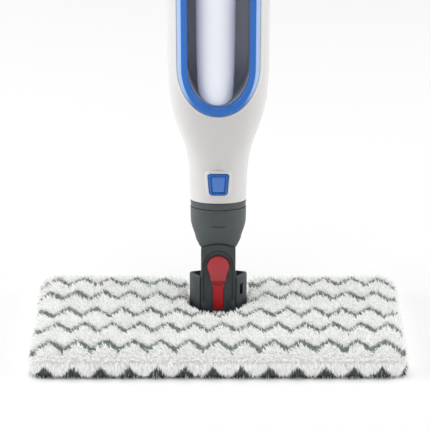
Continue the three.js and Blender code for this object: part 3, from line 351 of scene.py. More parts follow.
# Silicone and natural nylon: cream, slightly waxy.
siliconeTube = moulded("extruded_silicone", "#d8d3c8", 0.42, grain=1.2, grainDepth=0.006, mottling=0.06)
# Tinted polycarbonate over a lamp.
greenLens = moulded("moulded_polycarbonate_green", "#63d27c", 0.16, grainDepth=0.002, mottling=0.02,
                    Transmission_Weight=0.3)
# Soft-touch elastomer over the grip: velvety and matt.
softTouch = moulded("overmoulded_elastomer_grey", "#4a5053", 0.62, grain=0.5, grainDepth=0.04, mottling=0.08)


# Metal with fine scratches along an axis: drawn wire, turned pins, brushed tube.
def drawnMetal(name, colour, roughness, stretch=(1, 1, 0.04), **shader):
    material = newMaterial(name, Base_Color=linear(colour), Roughness=roughness, **shader)
    along = addNode(material, "ShaderNodeMapping", {"Vector": objectPlace(material), "Scale": stretch})
    lines = addNode(material, "ShaderNodeTexNoise", {
        "Vector": along.outputs["Vector"], "Scale": 1 / (0.5 * mm), "Detail": 3})
    gloss = ranged(material, lines.outputs["Fac"], 0.25, 0.75, roughness * 0.7, roughness * 1.4)
    feed(material, "Roughness", gloss)
    addBump(material, lines.outputs["Fac"], 0.3, 0.006)
    return material


# Zinc-plated steel: bright and a little blue.
platedSteel = drawnMetal("turned_zinc_plated_steel", "#c3c6cc", 0.26, Metallic=1.0)
# Sand-cast aluminium: dull and pebbled.
castAluminium = moulded(
    "sand_cast_aluminium", "#a9abad", 0.55, grain=1.4, grainDepth=0.09, mottling=0.15, Metallic=1.0)
# Powder-coated tube: a pale metallic grey with a faint orange peel.
paintedPole = moulded("powder_coated_aluminium", "#d5d6d9", 0.32, grain=1.1, grainDepth=0.02, mottling=0.03,
                      Metallic=0.25, Coat_Weight=0.3, Coat_Roughness=0.2)


# Green solder mask with copper tracks a millimetre apart.
def circuitBoard():
    material = newMaterial("etched_circuit_board", Base_Color=linear("#1f6b45"), Roughness=0.42)
    tracks = addNode(material, "ShaderNodeTexBrick", {
        "Vector": objectPlace(material), "Scale": 1 / (4 * mm), "Mortar Size": 0.06,
        "Color1": linear("#1f6b45"), "Color2": linear("#1b5f3d"), "Mortar": linear("#4f9a62")})
    feed(material, "Base Color", tracks.outputs["Color"])
    return material


boardGreen = circuitBoard()

finishOf = {
    "white_shell": whiteAbs, "blue_trim": blueAbs, "charcoal": charcoalAbs, "bay_grey": bayAbs,
    "neck_grey": neckNylon, "red_lever": redAbs, "tank": frostedTank, "rubber": blackRubber,
    "steel": platedSteel,
    "cast": castAluminium, "board": boardGreen, "tube": siliconeTube, "pole": paintedPole, "lens": greenLens,
}
slotOf = {part["node"]: part["material_slot"] for part in frame["record"]["subparts"]}
for name, node in nodes.items():
    if slotOf[name] in finishOf:
        for materialSlot in node.material_slots:
            materialSlot.material = finishOf[slotOf[name]]
print("finishes done")


# ---- floor, light ----
stage = {"floor": 9, "white": 0.93, "world": 0.3, "glow": 0.1}
lamps = {
    "top": {"at": (0, 0.2, 3.2), "aim": (0, 0, 0), "size": 3.0, "power": 52},
    "left": {"at": (-2.6, -0.15, 1.1), "aim": (0, 0, 0.3), "size": 1.8, "power": 40},
    "right": {"at": (2.6, -0.15, 1.1), "aim": (0, 0, 0.3), "size": 1.8, "power": 30},
}
world = bpy.data.worlds.new("studio")
world.use_nodes = True
world.node_tree.nodes["Background"].inputs["Color"].default_value = (1, 1, 1, 1)
world.node_tree.nodes["Background"].inputs["Strength"].default_value = stage["world"]
bpy.context.scene.world = world
for name, lamp in lamps.items():
    clearSelection()
    bpy.ops.object.light_add(type="AREA", location=lamp["at"])
    light = bpy.context.object
    light.name = name
    light.data.shape = "SQUARE"
    light.data.size = lamp["size"]
    light.data.energy = lamp["power"]
    light.rotation_euler = (Vector(lamp["aim"]) - Vector(lamp["at"])).to_track_quat("-Z", "Y").to_euler()
clearSelection()
bpy.ops.mesh.primitive_plane_add(size=stage["floor"])
floor = bpy.context.object
floor.name = "floor"
floor.data.materials.append(newMaterial(
    "white_background_paper", Base_Color=(stage["white"], stage["white"], stage["white"], 1), Roughness=0.9,
    Emission_Color=(1, 1, 1, 1), Emission_Strength=stage["glow"]))
print("stage done")


# ---- casing: two shells that meet at the sides ----
casing = {
    "middle": 50, "jointHeight": 152, "jointSlope": 0.343, "wall": 2.4, "split": 0.15, "sides": 112,
    "stations": [
        (130, 31.5, 31.5, 2.0), (152, 31.5, 31.5, 2.0), (176, 32.2, 32.0, 2.1), (201, 33.6, 33.2, 2.25),
        (226, 37.8, 35.4, 2.5), (254, 46.5, 38.6, 2.8), (282, 52.8, 41.4, 3.0), (310, 54.9, 43.2, 3.1),
        (350, 55.4, 44.0, 3.1), (560, 55.4, 44.0, 3.1), (612, 53.4, 42.0, 2.9), (655, 43.5, 35.6, 2.6),
        (695, 28.6, 26.4, 2.2), (735, 20.4, 20.0, 2.0),
    ],
    "posts": [(-29, 262), (29, 262), (-27, 628), (27, 628)], "postRadius": 4.4, "screwHole": 3.5,
    "screwFace": 0.72, "sunk": 2.2, "edge": (0.45, 2, 50), "poleMouth": (15.3, 700, 760),
    "glandHole": (6.8, 706), "behind": 120,
}
casingAt = smooth(casing["stations"])


# How far back the casing's front surface is at a place on it.
def surfaceY(x, z):
    a, b, n = casingAt(z)
    return casing["middle"] - b * max(0.02, 1 - min(1, abs(x) / a) ** n) ** (1 / n)


def casingSkin(name):
    heights = [*np.arange(130, 350, 4), *np.arange(350, 560, 14), *np.arange(560, 735, 4), 735]
    rings = []
    for z in heights:
        a, b, n = casingAt(z)
        rings.append(superellipse(0, casing["middle"], z, a, b, n, casing["sides"]))
    return skin(name, rings)


# The front half for side -1, the rear half for side 1, cut off at the slanting joint with the collar.
def halfCasing(name, side):
    shell = casingSkin(name)
    slope = math.atan(casing["jointSlope"])
    bisect(shell, (0, casing["middle"], casing["jointHeight"]), (0, math.sin(slope), math.cos(slope)))
    bisect(shell, (0, casing["middle"] + side * casing["split"], 0), (0, side, 0))
    applyModifier(shell, "SOLIDIFY", thickness=casing["wall"] * mm, offset=-1, use_even_offset=True)
    bevel(shell, *casing["edge"])
    return shell


def poleMouth(shell):
    radius, low, high = casing["poleMouth"]
    boolean(shell, addRod(radius, (0, casing["middle"], low), (0, casing["middle"], high)))


# The window: straight sides between two elliptical ends, grown by g.
window = {"half": 33.5, "arc": 46.5, "low": 334, "high": 560, "arcSteps": 40, "sideSteps": 26}


def windowLoop(g):
    half = window["half"] + g
    arc = window["arc"] + g
    turns = np.linspace(0, math.pi, window["arcSteps"], endpoint=False)
    rise = np.linspace(window["low"], window["high"], window["sideSteps"], endpoint=False)
    top = [(half * math.cos(t), window["high"] + arc * math.sin(t)) for t in turns]
    left = [(-half, z) for z in rise[::-1] + (rise[1] - rise[0])]
    bottom = [(-half * math.cos(t), window["low"] - arc * math.sin(t)) for t in turns]
    right = [(half, z) for z in rise]
    return top + left + bottom + right


# A solid between two depths, with a loop of (x, z) for its outline.
def plug(loop, y0, y1):
    return skin("plug", [[(x, y, z) for x, z in loop] for y in (y0, y1)])


# A trapezoid with round corners, grown by g.
buttonShape = {"low": 174, "high": 201, "halfLow": 9.9, "halfHigh": 11.4, "corner": 3.2, "steps": 6}


def buttonLoop(g):
    shape = buttonShape
    corner = max(shape["corner"] + g, 0.6)
    ends = [
        (shape["halfHigh"] + g - corner, shape["high"] + g - corner, 0),
        (corner - shape["halfHigh"] - g, shape["high"] + g - corner, 90),
        (corner - shape["halfLow"] - g, shape["low"] - g + corner, 180),
        (shape["halfLow"] + g - corner, shape["low"] - g + corner, 270),
    ]
    loop = []
    for x, z, start in ends:
        for step in range(shape["steps"] + 1):
            turn = math.radians(start + 90 * step / shape["steps"])
            loop.append((x + corner * math.cos(turn), z + corner * math.sin(turn)))
    return loop


# A closed band swept round a loop: the profile's points are (grow, height over the casing's surface).
def bandOn(loopOf, profile, closed=True):
    rings = []
    for g, height in profile:
        rings.append([(x, surfaceY(x, z) - height, z) for x, z in loopOf(g)])
    return skin("band", rings, closed=closed)


rim = {
    "bead": [(11.4, -1.5), (11.4, 0.5), (11.9, 0.95), (13.6, 0.95), (14.4, 0.5), (14.8, -0.2), (14.8, -1.5)],
    "button": [(0.55, -1.8), (0.55, 0.6), (0.95, 0.95), (2.7, 0.95), (3.5, 0.35), (3.9, -0.4), (3.9, -1.8)],
    "scoop": {"at": (0, 13.9, 205), "radii": (11.05, 4.42, 13)},
}


def frontCasing():
    shell = halfCasing("front", -1)
    boolean(shell, plug(windowLoop(2.0), -30, 40))
    poleMouth(shell)
    scoop = rim["scoop"]
    clearSelection()
    bpy.ops.mesh.primitive_uv_sphere_add(segments=48, ring_count=24, radius=mm)
    ball = bpy.context.object
    ball.scale = scoop["radii"]
    ball.location = Vector(scoop["at"]) * mm
    bpy.ops.object.transform_apply(location=True, rotation=True, scale=True)
    boolean(shell, ball)
    boolean(shell, bandOn(buttonLoop, rim["button"]), "UNION")
    boolean(shell, plug(buttonLoop(0.5), -30, 30))
    boolean(shell, bandOn(windowLoop, rim["bead"]), "UNION")
    return shell


def rearCasing():
    shell = halfCasing("rear", 1)
    poleMouth(shell)
    behind = casing["behind"]
    for x, z in casing["posts"]:
        a, b, n = casingAt(z)
        back = casing["middle"] + b * (1 - (abs(x) / a) ** n) ** (1 / n)
        post = addRod(casing["postRadius"], (x, casing["middle"] + 0.3, z), (x, back - 1, z), 32)
        boolean(shell, post, "UNION")
        screwFace = casing["middle"] + b * casing["screwFace"]
        boolean(shell, addRod(casing["screwHole"], (x, screwFace - casing["sunk"], z), (x, behind, z), 32))
    radius, z = casing["glandHole"]
    boolean(shell, addRod(radius, (0, casing["middle"] + 10, z), (0, behind, z), 48))
    return shell


place(frontCasing(), "casing_front", whiteAbs, "main_body", ["front_casing"])
place(rearCasing(), "casing_rear", whiteAbs, "main_body", ["rear_casing"])
print("casing done")


# ---- window frame: a wide sloping facet outside, a flat band inside, a lip through the casing ----
# The pale colour, its span across and its slope set the painted reflection of the side lamps on the sloping
# facet.
ring = {
    "paleFrom": 24, "paleTo": 43, "pale": "#a9c8f6", "slope": (0.52, 0.64),
    "profile": [
        (10.95, 0.35), (10.95, 0.65), (10.6, 0.95), (7.3, 2.9), (6.9, 3.12), (6.5, 3.2), (6.2, 3.2),
        (1.0, 3.2), (0.5, 3.05), (0.15, 2.6), (0.0, 2.0), (0.0, -3.3), (1.55, -3.3), (1.55, 0.35),
    ],
}


# Deep blue gloss with a painted reflection: the sloping facet is painted paler along the sides, where it
# faces the side lamps, and runs into the deep blue at the ends.
def ringPlastic():
    material = moulded("gloss_abs_blue_painted_reflection", "#1270ce", 0.24, grainDepth=0.003, mottling=0.02)
    deep = shaderInput(material, "Base Color").links[0].from_socket
    coords = addNode(material, "ShaderNodeTexCoord")
    spot = addNode(material, "ShaderNodeSeparateXYZ", {0: coords.outputs["Object"]})
    facing = addNode(material, "ShaderNodeSeparateXYZ", {0: coords.outputs["Normal"]})

    def worked(operation, first, second=None):
        inputs = {0: first} if second is None else {0: first, 1: second}
        return addNode(material, "ShaderNodeMath", inputs, operation=operation).outputs[0]
    side = worked("ABSOLUTE", spot.outputs["X"])
    lean = worked("DIVIDE", worked("MULTIPLY", facing.outputs["X"], spot.outputs["X"]), side)
    # Painted reflection: paler where the sloping facet faces sideways, fading out towards the round ends.
    far = ranged(
        material, side, ring["paleFrom"] * mm, ring["paleTo"] * mm, interpolation_type="SMOOTHSTEP")
    factor = worked("MULTIPLY", far, ranged(material, lean, *ring["slope"]))
    feed(material, "Base Color", mixColours(material, factor, deep, linear(ring["pale"])))
    return material


place(
    bandOn(windowLoop, ring["profile"]), "window_ring", ringPlastic(), "main_body",
    ["window_frame"], 14)


# ---- bay: a cup behind the window with a rounded floor ----
bay = {
    "floor": 46, "outlet": (-3, 312), "outletHole": 6.7,
    "round": [(0.05, 5.5), (-0.4, 3), (-1.6, 1.1), (-3.6, 0.1), (-5, 0)],
}


def bayCup():
    floorY = bay["floor"]
    levels = [(-2.5, floorY + 1.6), (0.4, floorY + 0.9), (1.55, floorY - 2.2)]
    rings = [[(x, y, z) for x, z in windowLoop(g)] for g, y in levels]
    for g in (1.55, 0.05):
        rings.append([(x, surfaceY(x, z) + 3.75, z) for x, z in windowLoop(g)])
    for g, rise in bay["round"]:
        rings.append([(x, floorY - rise, z) for x, z in windowLoop(g)])
    cup = skin("bay", rings)
    x, z = bay["outlet"]
    boolean(cup, addRod(bay["outletHole"], (x, floorY - 10, z), (x, floorY + 10, z), 40))
    return cup


place(bayCup(), "bay_cup", bayAbs, "main_body", ["tank_bay"])


# ---- water tank: a blown bottle with a neck ----
tank = {
    "x": -3, "y": 27, "foot": 281.5, "half": 21.5, "deep": 17, "square": 2.5, "wall": 1.8,
    "neck": 10.5, "neckTop": 569, "clear": 1.2, "sides": 72, "edge": (2.6, 4, 40),
    "grow": [(0, -3.5), (10, -2.6), (40, -1.2), (90, -0.4), (150, 0), (268.5, 0), (274, -0.6), (277.5, -2.0)],
}


def tankBottle():
    grow = smooth(tank["grow"])
    heights = [*np.arange(0, 150, 10), 150, 190, 230, 262, 268.5, 271, 273, 275, 276.5, 277.5]
    rings = []
    for h in heights:
        wider = float(grow(h)[0])
        rings.append(superellipse(
            tank["x"], tank["y"], tank["foot"] + h, tank["half"] + wider, tank["deep"] + wider * 0.6,
            tank["square"], tank["sides"]))
    neck = tank["neck"]
    shoulder = [
        (279.2, 17.2, 13.6, 2.4), (280.2, 14.0, 12.2, 2.2), (280.6, neck + 0.8, neck + 0.6, 2.0),
        (281.4, neck, neck, 2.0),
    ]
    for h, a, b, n in shoulder:
        rings.append(superellipse(tank["x"], tank["y"], tank["foot"] + h, a, b, n, tank["sides"]))
    rings.append(superellipse(tank["x"], tank["y"], tank["neckTop"], neck, neck, 2.0, tank["sides"]))
    bottle = skin("bottle", rings)
    boolean(bottle, plug(windowLoop(-tank["clear"]), -30, 80), "INTERSECT")
    bevel(bottle, *tank["edge"])
    editAll(bottle)
    bpy.ops.mesh.select_all(action="DESELECT")
    leaveEdit()
    places = bottle.data.vertices
    for face in bottle.data.polygons:
        atTop = all(abs(places[k].co.z - tank["neckTop"] * mm) < 3 * mm for k in face.vertices)
        face.select = atTop and face.normal.z > 0.6
    makeActive(bottle)
    bpy.ops.object.mode_set(mode="EDIT")
    bpy.ops.mesh.delete(type="FACE")
    leaveEdit()
    applyModifier(bottle, "SOLIDIFY", thickness=tank["wall"] * mm, offset=-1)
    return bottle


place(tankBottle(), "tank_bottle", frostedTank, "water_tank", ["tank_shell"], 40)
print("tank done")


# ---- tank cap: fluted for wet fingers ----
cap = {"radius": 13, "low": 564, "high": 576, "flutes": 22, "depth": 0.55, "plug": 8.3, "bore": 10.9}


def tankCapPiece():
    sides = cap["flutes"] * 8
    rings = []

    def fluted(radius, z, depth):
        points = []
        for k in range(sides):
            turn = 2 * math.pi * k / sides
            r = radius - depth * (0.5 + 0.5 * math.cos(turn * cap["flutes"]))
            points.append((tank["x"] + r * math.cos(turn), tank["y"] + r * math.sin(turn), z))
        return points
    low, high, outside = cap["low"], cap["high"], cap["radius"]
    profile = [
        (cap["plug"], high - 8, 0), (cap["plug"], high - 3, 0), (cap["bore"], high - 3, 0),
        (cap["bore"], low, 0), (outside - 0.6, low, 0), (outside, low + 0.6, 0),
        (outside, low + 1.2, cap["depth"]), (outside, high - 3, cap["depth"]), (outside - 0.3, high - 1.6, 0),
        (outside - 1.2, high - 0.5, 0), (outside - 2.6, high, 0), (6.5, high - 0.35, 0),
    ]
    for radius, z, depth in profile:
        rings.append(fluted(radius, z, depth))
    return skin("cap", rings)


place(tankCapPiece(), "tank_screw_cap", blueAbs, "cap", ["tank_cap"])


# ---- release button: a dished face inside a raised edge ----
press = {
    "back": 20.1,
    "profile": [
        (0, 0.6), (-0.25, 1.25), (-0.8, 1.5), (-2.3, 1.5), (-2.7, 1.3), (-2.95, -0.1), (-3.7, -0.1),
        (-5.5, -0.1), (-8.5, 0),
    ],
    "inlay": [(-3.65, 0.5), (-3.95, 0.85), (-5.5, 1.0), (-8.5, 1.15)],
}


def pressed(backs, profile):
    rings = [[(x, press["back"], z) for x, z in buttonLoop(g)] for g in backs]
    for g, height in profile:
        rings.append([(x, surfaceY(x, z) - height, z) for x, z in buttonLoop(g)])
    return skin("press", rings)


face = pressed((-3, -0.05), press["profile"])
place(face, "button_face", blueAbs, "button", ["release_button"], 25)
# The inlay is a paler blue, with a fine groove left round it.
inlayAbs = moulded("moulded_satin_abs_pale_blue", "#4f87de", 0.3, grainDepth=0.004, mottling=0.03)
place(pressed((-5, -3.7), press["inlay"]), "button_inlay", inlayAbs, "button", (), 25)
print("button done")


# ---- collar: a funnel that turns on the neck, and the band over it ----
collar = {
    "stations": [
        (96, 19.6, 27.2, 45.7, 5.0), (104, 22.3, 27.7, 46.2, 4.4), (110, 25.9, 28.4, 46.8, 3.4),
        (114, 27.1, 29.0, 47.3, 2.9), (119, 29.2, 29.9, 48.2, 2.5), (124, 30.9, 30.8, 49.2, 2.2),
        (130, 31.4, 31.4, 49.9, 2.0), (140, 31.5, 31.5, 50.0, 2.0), (175, 31.5, 31.5, 50.0, 2.0),
    ],
    "wall": 2.6, "swivel": 79, "seam": 32.3, "trim": 9.0, "tongue": (14.3, 7.3), "flat": (131.5, 20.0),
    "sides": 112, "through": (-60, 160), "seamSides": 160,
}
collarAt = smooth(collar["stations"])


def collarSkin(grow):
    rings = []
    for z in [*np.arange(96, 140, 2), 140, 150, 160, 175]:
        a, b, y, n = collarAt(z)
        rings.append(superellipse(0, y, z, a + grow, b + grow, n, collar["sides"]))
    return skin("collar", rings)


def collarPiece():
    swivel = collar["swivel"]
    outer = collarSkin(0)
    front, back = collar["through"]
    boolean(outer, addRod(collar["seam"], (0, front, swivel), (0, back, swivel), collar["seamSides"]))
    slope = math.atan(casing["jointSlope"])
    top = (0, casing["middle"], casing["jointHeight"] - collar["trim"] - 0.3)
    bisect(outer, top, (0, -math.sin(slope), -math.cos(slope)), fill=True)
    flatLow, flatY = collar["flat"]
    boolean(outer, addBox((-40, 0, flatLow), (40, flatY, 200)))
    bevel(outer, 0.5, 2, 40)
    inner = collarSkin(-collar["wall"])
    seamInside = collar["seam"] + collar["wall"]
    boolean(inner, addRod(seamInside, (0, front, swivel), (0, back, swivel), collar["seamSides"]))
    boolean(outer, inner)
    wide, deep = collar["tongue"]
    middle = casing["middle"]
    boolean(outer, addBox((-wide, middle - deep, 60), (wide, middle + deep, 120)))
    return outer


trim = {
    "profile": [
        (28.0, -8.95), (30.4, -8.95), (31.1, -8.3), (31.15, -2.9), (31.5, -2.5), (31.6, -1.5), (31.3, -1.0),
        (30.9, -0.5), (30.6, -0.35), (28.0, -0.35),
    ],
}


def trimBand():
    rings = []
    for radius, offset in trim["profile"]:
        points = []
        for k in range(collar["sides"]):
            turn = 2 * math.pi * k / collar["sides"]
            x, y = radius * math.cos(turn), radius * math.sin(turn)
            z = casing["jointHeight"] + offset - casing["jointSlope"] * y
            points.append((x, casing["middle"] + y, z))
        rings.append(points)
    return skin("trim", rings, closed=True)


place(collarPiece(), "collar", neckNylon, "neck_collar", ["collar_shell"])
place(trimBand(), "collar_band", neckNylon, "neck_collar", ["collar_trim"])
print("collar done")


# ---- neck, head, works and handle fittings: CAD shapes with their moulded edges ----
# Colours with painted light: the face colour holds a painted highlight, the ramp colour painted shade, the
# stem colour painted light.
lever = {
    "rampLow": 56.2, "rampHigh": 65.6, "edge": 0.5, "face": "#c23a41", "ramp": "#a01019", "stem": "#d02029",
}


# Red ABS with painted light: a painted highlight makes the paddle's face paler and duller, painted shade
# makes the ramp under it deeper, and painted light makes the stem brightest.
def leverPlasticPaintedLight():
    material = moulded("moulded_satin_abs_red", lever["face"], 0.4, grainDepth=0.01, mottling=0.07)
    face = shaderInput(material, "Base Color").links[0].from_socket
    height = addNode(material, "ShaderNodeSeparateXYZ", {0: objectPlace(material)}).outputs["Z"]
    steps = [
        ranged(material, height, (level - lever["edge"]) * mm, level * mm)
        for level in (lever["rampLow"], lever["rampHigh"])
    ]
    # The stem's painted light, the ramp's painted shade and the face's painted highlight are switched in by
    # height.
    low = mixColours(material, steps[0], linear(lever["stem"]), linear(lever["ramp"]))
    feed(material, "Base Color", mixColours(material, steps[1], low, face))
    return material


leverAbs = leverPlasticPaintedLight()
# The housing's nylon is darker than the collar's.
darkNylon = moulded("moulded_glass_nylon_dark", "#3e4547", 0.48, grain=0.7, grainDepth=0.03, mottling=0.08)
ownFinish = {"lock_lever": leverAbs, "housing_front": darkNylon, "housing_rear": darkNylon}


def rounded(node, name, width, segments=2, angle=35, shade=32):
    obj = softened(node, width, segments, angle)
    slot = slotOf[node]
    finish = ownFinish.get(node, finishOf[slot])
    return place(obj, name, finish, nodes[node]["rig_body"], [node], shade)


fittings = {
    "housing_front": ("neck_front", 0.45), "housing_rear": ("neck_rear", 0.45),
    "lock_lever": ("red_lever", 0.7), "head_top_cover": ("head_top", 0.5),
    "head_bottom_cover": ("head_sole", 0.5), "pole_collar": ("pole_ring", 0.6),
    "hook_bracket": ("upper_hook_bracket", 0.5), "lower_cord_hook": ("lower_hook", 1.1),
    "upper_cord_hook": ("upper_hook", 1.1), "cord_gland": ("gland", 0.35),
    "steam_trigger": ("grip_trigger", 0.9), "ready_lens": ("ready_lamp", 0.3),
    "latch_hook": ("button_latch", 0.3), "control_board": ("circuit_board", 0.15),
}
# A fine groove follows the arch about the lever.
arch = {
    "z": 83.4, "half": 16.3, "high": 19.2, "low": 14, "wide": 0.75, "y": (10, 18.9), "steps": 40,
    "sideSteps": 12,
}


def archPlug(grow):
    turns = np.linspace(0, math.pi, arch["steps"])
    half, high = arch["half"] + grow, arch["high"] + grow
    loop = [(half * math.cos(t), arch["z"] + high * math.sin(t)) for t in turns]
    foot = arch["low"] + grow
    loop += [(-half, z) for z in np.linspace(arch["z"], foot, arch["sideSteps"])[1:]]
    loop += [(half, z) for z in np.linspace(foot, arch["z"], arch["sideSteps"])[:-1]]
    return plug(loop, *arch["y"])


for node, (name, width) in fittings.items():
    piece = rounded(node, name, width)
    if node == "housing_front":
        groove = archPlug(arch["wide"])
        boolean(groove, archPlug(0))
        boolean(piece, groove)
print("fittings done")


# ---- screws: pan heads with a cross recess ----
screw = {"edge": 0.35, "slot": 0.42, "reach": 1.7, "deep": 1.1}


def crossScrew(node):
    obj = softened(node, screw["edge"])
    low = Vector([min(corner[k] for corner in obj.bound_box) for k in range(3)]) / mm
    high = Vector([max(corner[k] for corner in obj.bound_box) for k in range(3)]) / mm
    middle = (low + high) / 2
    face = high.y
    for wide, tall in ((screw["reach"], screw["slot"]), (screw["slot"], screw["reach"])):
        boolean(obj, addBox(
            (middle.x - wide, face - screw["deep"], middle.z - tall),
            (middle.x + wide, face + 1, middle.z + tall)))
    place(obj, node + "_head", platedSteel, nodes[node]["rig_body"], [node])


for number in (1, 2, 3, 4):
    crossScrew(f"casing_screw_{number}")
for number in (1, 2):
    crossScrew(f"housing_screw_{number}")
print("screws done")


# ---- pole and grip ----
def boundsOf(node):
    corners = np.array([tuple(corner) for corner in nodes[node].bound_box]) / mm
    return corners.min(axis=0), corners.max(axis=0)


pole = {"radius": 15, "wall": 1.4, "sides": 96}


def poleTube():
    low, high = boundsOf("handle_pole")
    outside = pole["radius"]
    inside = outside - pole["wall"]
    profile = [
        (outside, low[2] + 0.4), (outside, high[2] - 0.4), (outside - 0.4, high[2]), (inside, high[2]),
        (inside, low[2]), (outside - 0.4, low[2]),
    ]
    rings = [superellipse(0, casing["middle"], z, radius, radius, 2, pole["sides"]) for radius, z in profile]
    return skin("pole", rings, closed=True)


grip = {
    "low": 1022, "square": 2.2, "wall": 3, "split": 0.15, "sides": 72, "bore": (15.3, 1000, 1092.3),
    "stations": [
        (0, 16.9, 17.4, 0), (14, 18, 19.6, 0), (70, 17.2, 18.6, 1), (120, 17.6, 19.6, 4),
        (156, 18.6, 21.2, 9), (176, 17, 19.6, 13), (187, 11.6, 14, 16), (191, 5, 6.5, 17),
    ],
    "trigger": (6.5, 1101.5, 1150.5), "lens": (4.3, 1180), "lensSpan": (62, 110),
    "ribs": (44, 128, 7.0, 0.9), "around": (90, 120, 900, 1300),
}
gripAt = smooth(grip["stations"])


# Rings of the grip's form; its back carries shallow ribs for the palm.
def gripSkin(grow, ribbed):
    first, last, pitch, depth = grip["ribs"]
    heights = [*np.arange(0, 40, 4), *np.arange(40, 132, 1.4), *np.arange(132, 191, 3), 191]
    rings = []
    for h in heights:
        a, b, lean = gripAt(h)
        middle = casing["middle"] + lean
        points = superellipse(0, middle, grip["low"] + h, a + grow, b + grow, grip["square"], grip["sides"])
        if ribbed and first < h < last:
            groove = depth * max(0, math.cos(2 * math.pi * (h - first) / pitch)) ** 2
            points = [(x, y - groove * max(0, (y - middle) / b) ** 2, z) for x, y, z in points]
        rings.append(points)
    return skin("grip", rings)


def gripShell():
    shell = gripSkin(0, True)
    inner = gripSkin(-grip["wall"], False)
    inner.data.transform(Matrix.Translation((0, 0, -grip["wall"] * mm)))
    boolean(shell, inner)
    middle = casing["middle"]
    radius, low, high = grip["bore"]
    boolean(shell, addRod(radius, (0, middle, low), (0, middle, high), 64))
    half, low, high = grip["trigger"]
    boolean(shell, addBox((-half, 0, low), (half, middle, high)))
    radius, z = grip["lens"]
    front, back = grip["lensSpan"]
    boolean(shell, addRod(radius, (0, front, z), (0, back, z), 40))
    return shell


place(poleTube(), "pole_tube", paintedPole, "main_body", ["handle_pole"])
leftGrip = gripShell()
rightGrip = leftGrip.copy()
rightGrip.data = leftGrip.data.copy()
bpy.context.scene.collection.objects.link(rightGrip)
split = grip["split"]
wide, deep, low, high = grip["around"]
boolean(leftGrip, addBox((-split, 0, low), (wide, deep, high)))
boolean(rightGrip, addBox((-wide, 0, low), (split, deep, high)))
place(leftGrip, "grip_half_left", softTouch, "main_body", ["grip_left"])
place(rightGrip, "grip_half_right", softTouch, "main_body", ["grip_right"])
print("handle done")


# ---- pad: a swollen cloth pocket with a microfibre pile ----
pad = {
    "half": 209, "front": -88.6, "back": 91, "low": 2.2, "high": 23.4, "notch": 37.5, "middle": 50,
    "voxel": 4.5,
    "pressure": 3.4, "frames": 20, "cap": 3.6, "pocket": (198.4, -79.4, 7.05, 20.95), "seed": 7,
    "corner": 15, "pocketCorner": 13, "topRound": 7, "fill": 0.55, "quality": 5, "skin": 0.3,
}
pattern = {
    "rows": [(71.5, 0), (39.5, -6), (3.4, -14), (-29, 6), (-65, 0)], "period": 31.2, "swing": 8,
    # The last four entries shape the front marks: painted-shade triangles, and a painted floor shadow along
    # the bottom.
    "wideFalling": 9.2, "wideRising": 7.4, "tip": 16, "tipHalf": 14, "tipPhase": -5.6, "floorShadow": 3,
}
pile = {
    "top": 0.42, "side": 0.55, "bottom": 0.10, "length": 7.6, "greyShort": 0.78, "frontLength": 9.5,
    "lean": (-0.36, -0.1), "radius": 0.78, "most": 20000, "nearNotch": 6, "nearShort": 0.7,
    "spread": 0.24, "bendSpread": 0.35, "vary": (0.72, 1.15), "frontVary": (0.7, 1.1), "rooted": 0.7,
    "kneeAt": 0.55, "tipFrom": 0.5, "kneeThin": 0.92, "awayPush": 0.5, "droop": 0.75, "flatten": 0.25,
    "sideBend": (0, 0, -0.7), "topBend": (-0.1, 0, -0.1), "floor": 0.15, "floorStep": 0.1, "glow": 0.17,
}


# 1 on a stripe, 0 between stripes, for places on the pad seen from above.
def stripeAt(x, y):
    found = np.zeros_like(x)
    for rowY, phase in pattern["rows"]:
        t = (x - phase) / pattern["period"]
        part = t - np.round(t)
        centre = rowY + pattern["swing"] * (1 - 4 * np.abs(part))
        wide = np.where(part > 0, pattern["wideFalling"], pattern["wideRising"])
        found = np.maximum(found, (np.abs(y - centre) < wide / 2).astype(float))
    return found


# 1 in the dark triangles along the pad's front edge and in a band along the floor. The triangles are the
# front's grey stripes, drawn darker as painted shade under the overhanging pile; the band is a painted shadow
# where the pad meets the floor.
def darkAt(x, z):
    t = (x - pattern["tipPhase"]) / pattern["period"]
    across = np.abs(t - np.round(t)) * pattern["period"]
    return ((across < pattern["tipHalf"] * (1 - z / pattern["tip"])) | (z < pattern["floorShadow"])).astype(float)


# Bevels the edges whose two ends a test picks.
def bevelEdges(obj, width, segments, picked):
    editAll(obj)
    bpy.ops.mesh.select_all(action="DESELECT")
    bpy.ops.mesh.select_mode(type="EDGE")
    leaveEdit()
    ends = [[obj.data.vertices[k].co.copy() for k in edge.vertices] for edge in obj.data.edges]
    obj.data.edges.foreach_set("select", [picked(a, b) for a, b in ends])
    makeActive(obj)
    bpy.ops.object.mode_set(mode="EDIT")
    bpy.ops.mesh.bevel(offset=width * mm, segments=segments)
    leaveEdit()


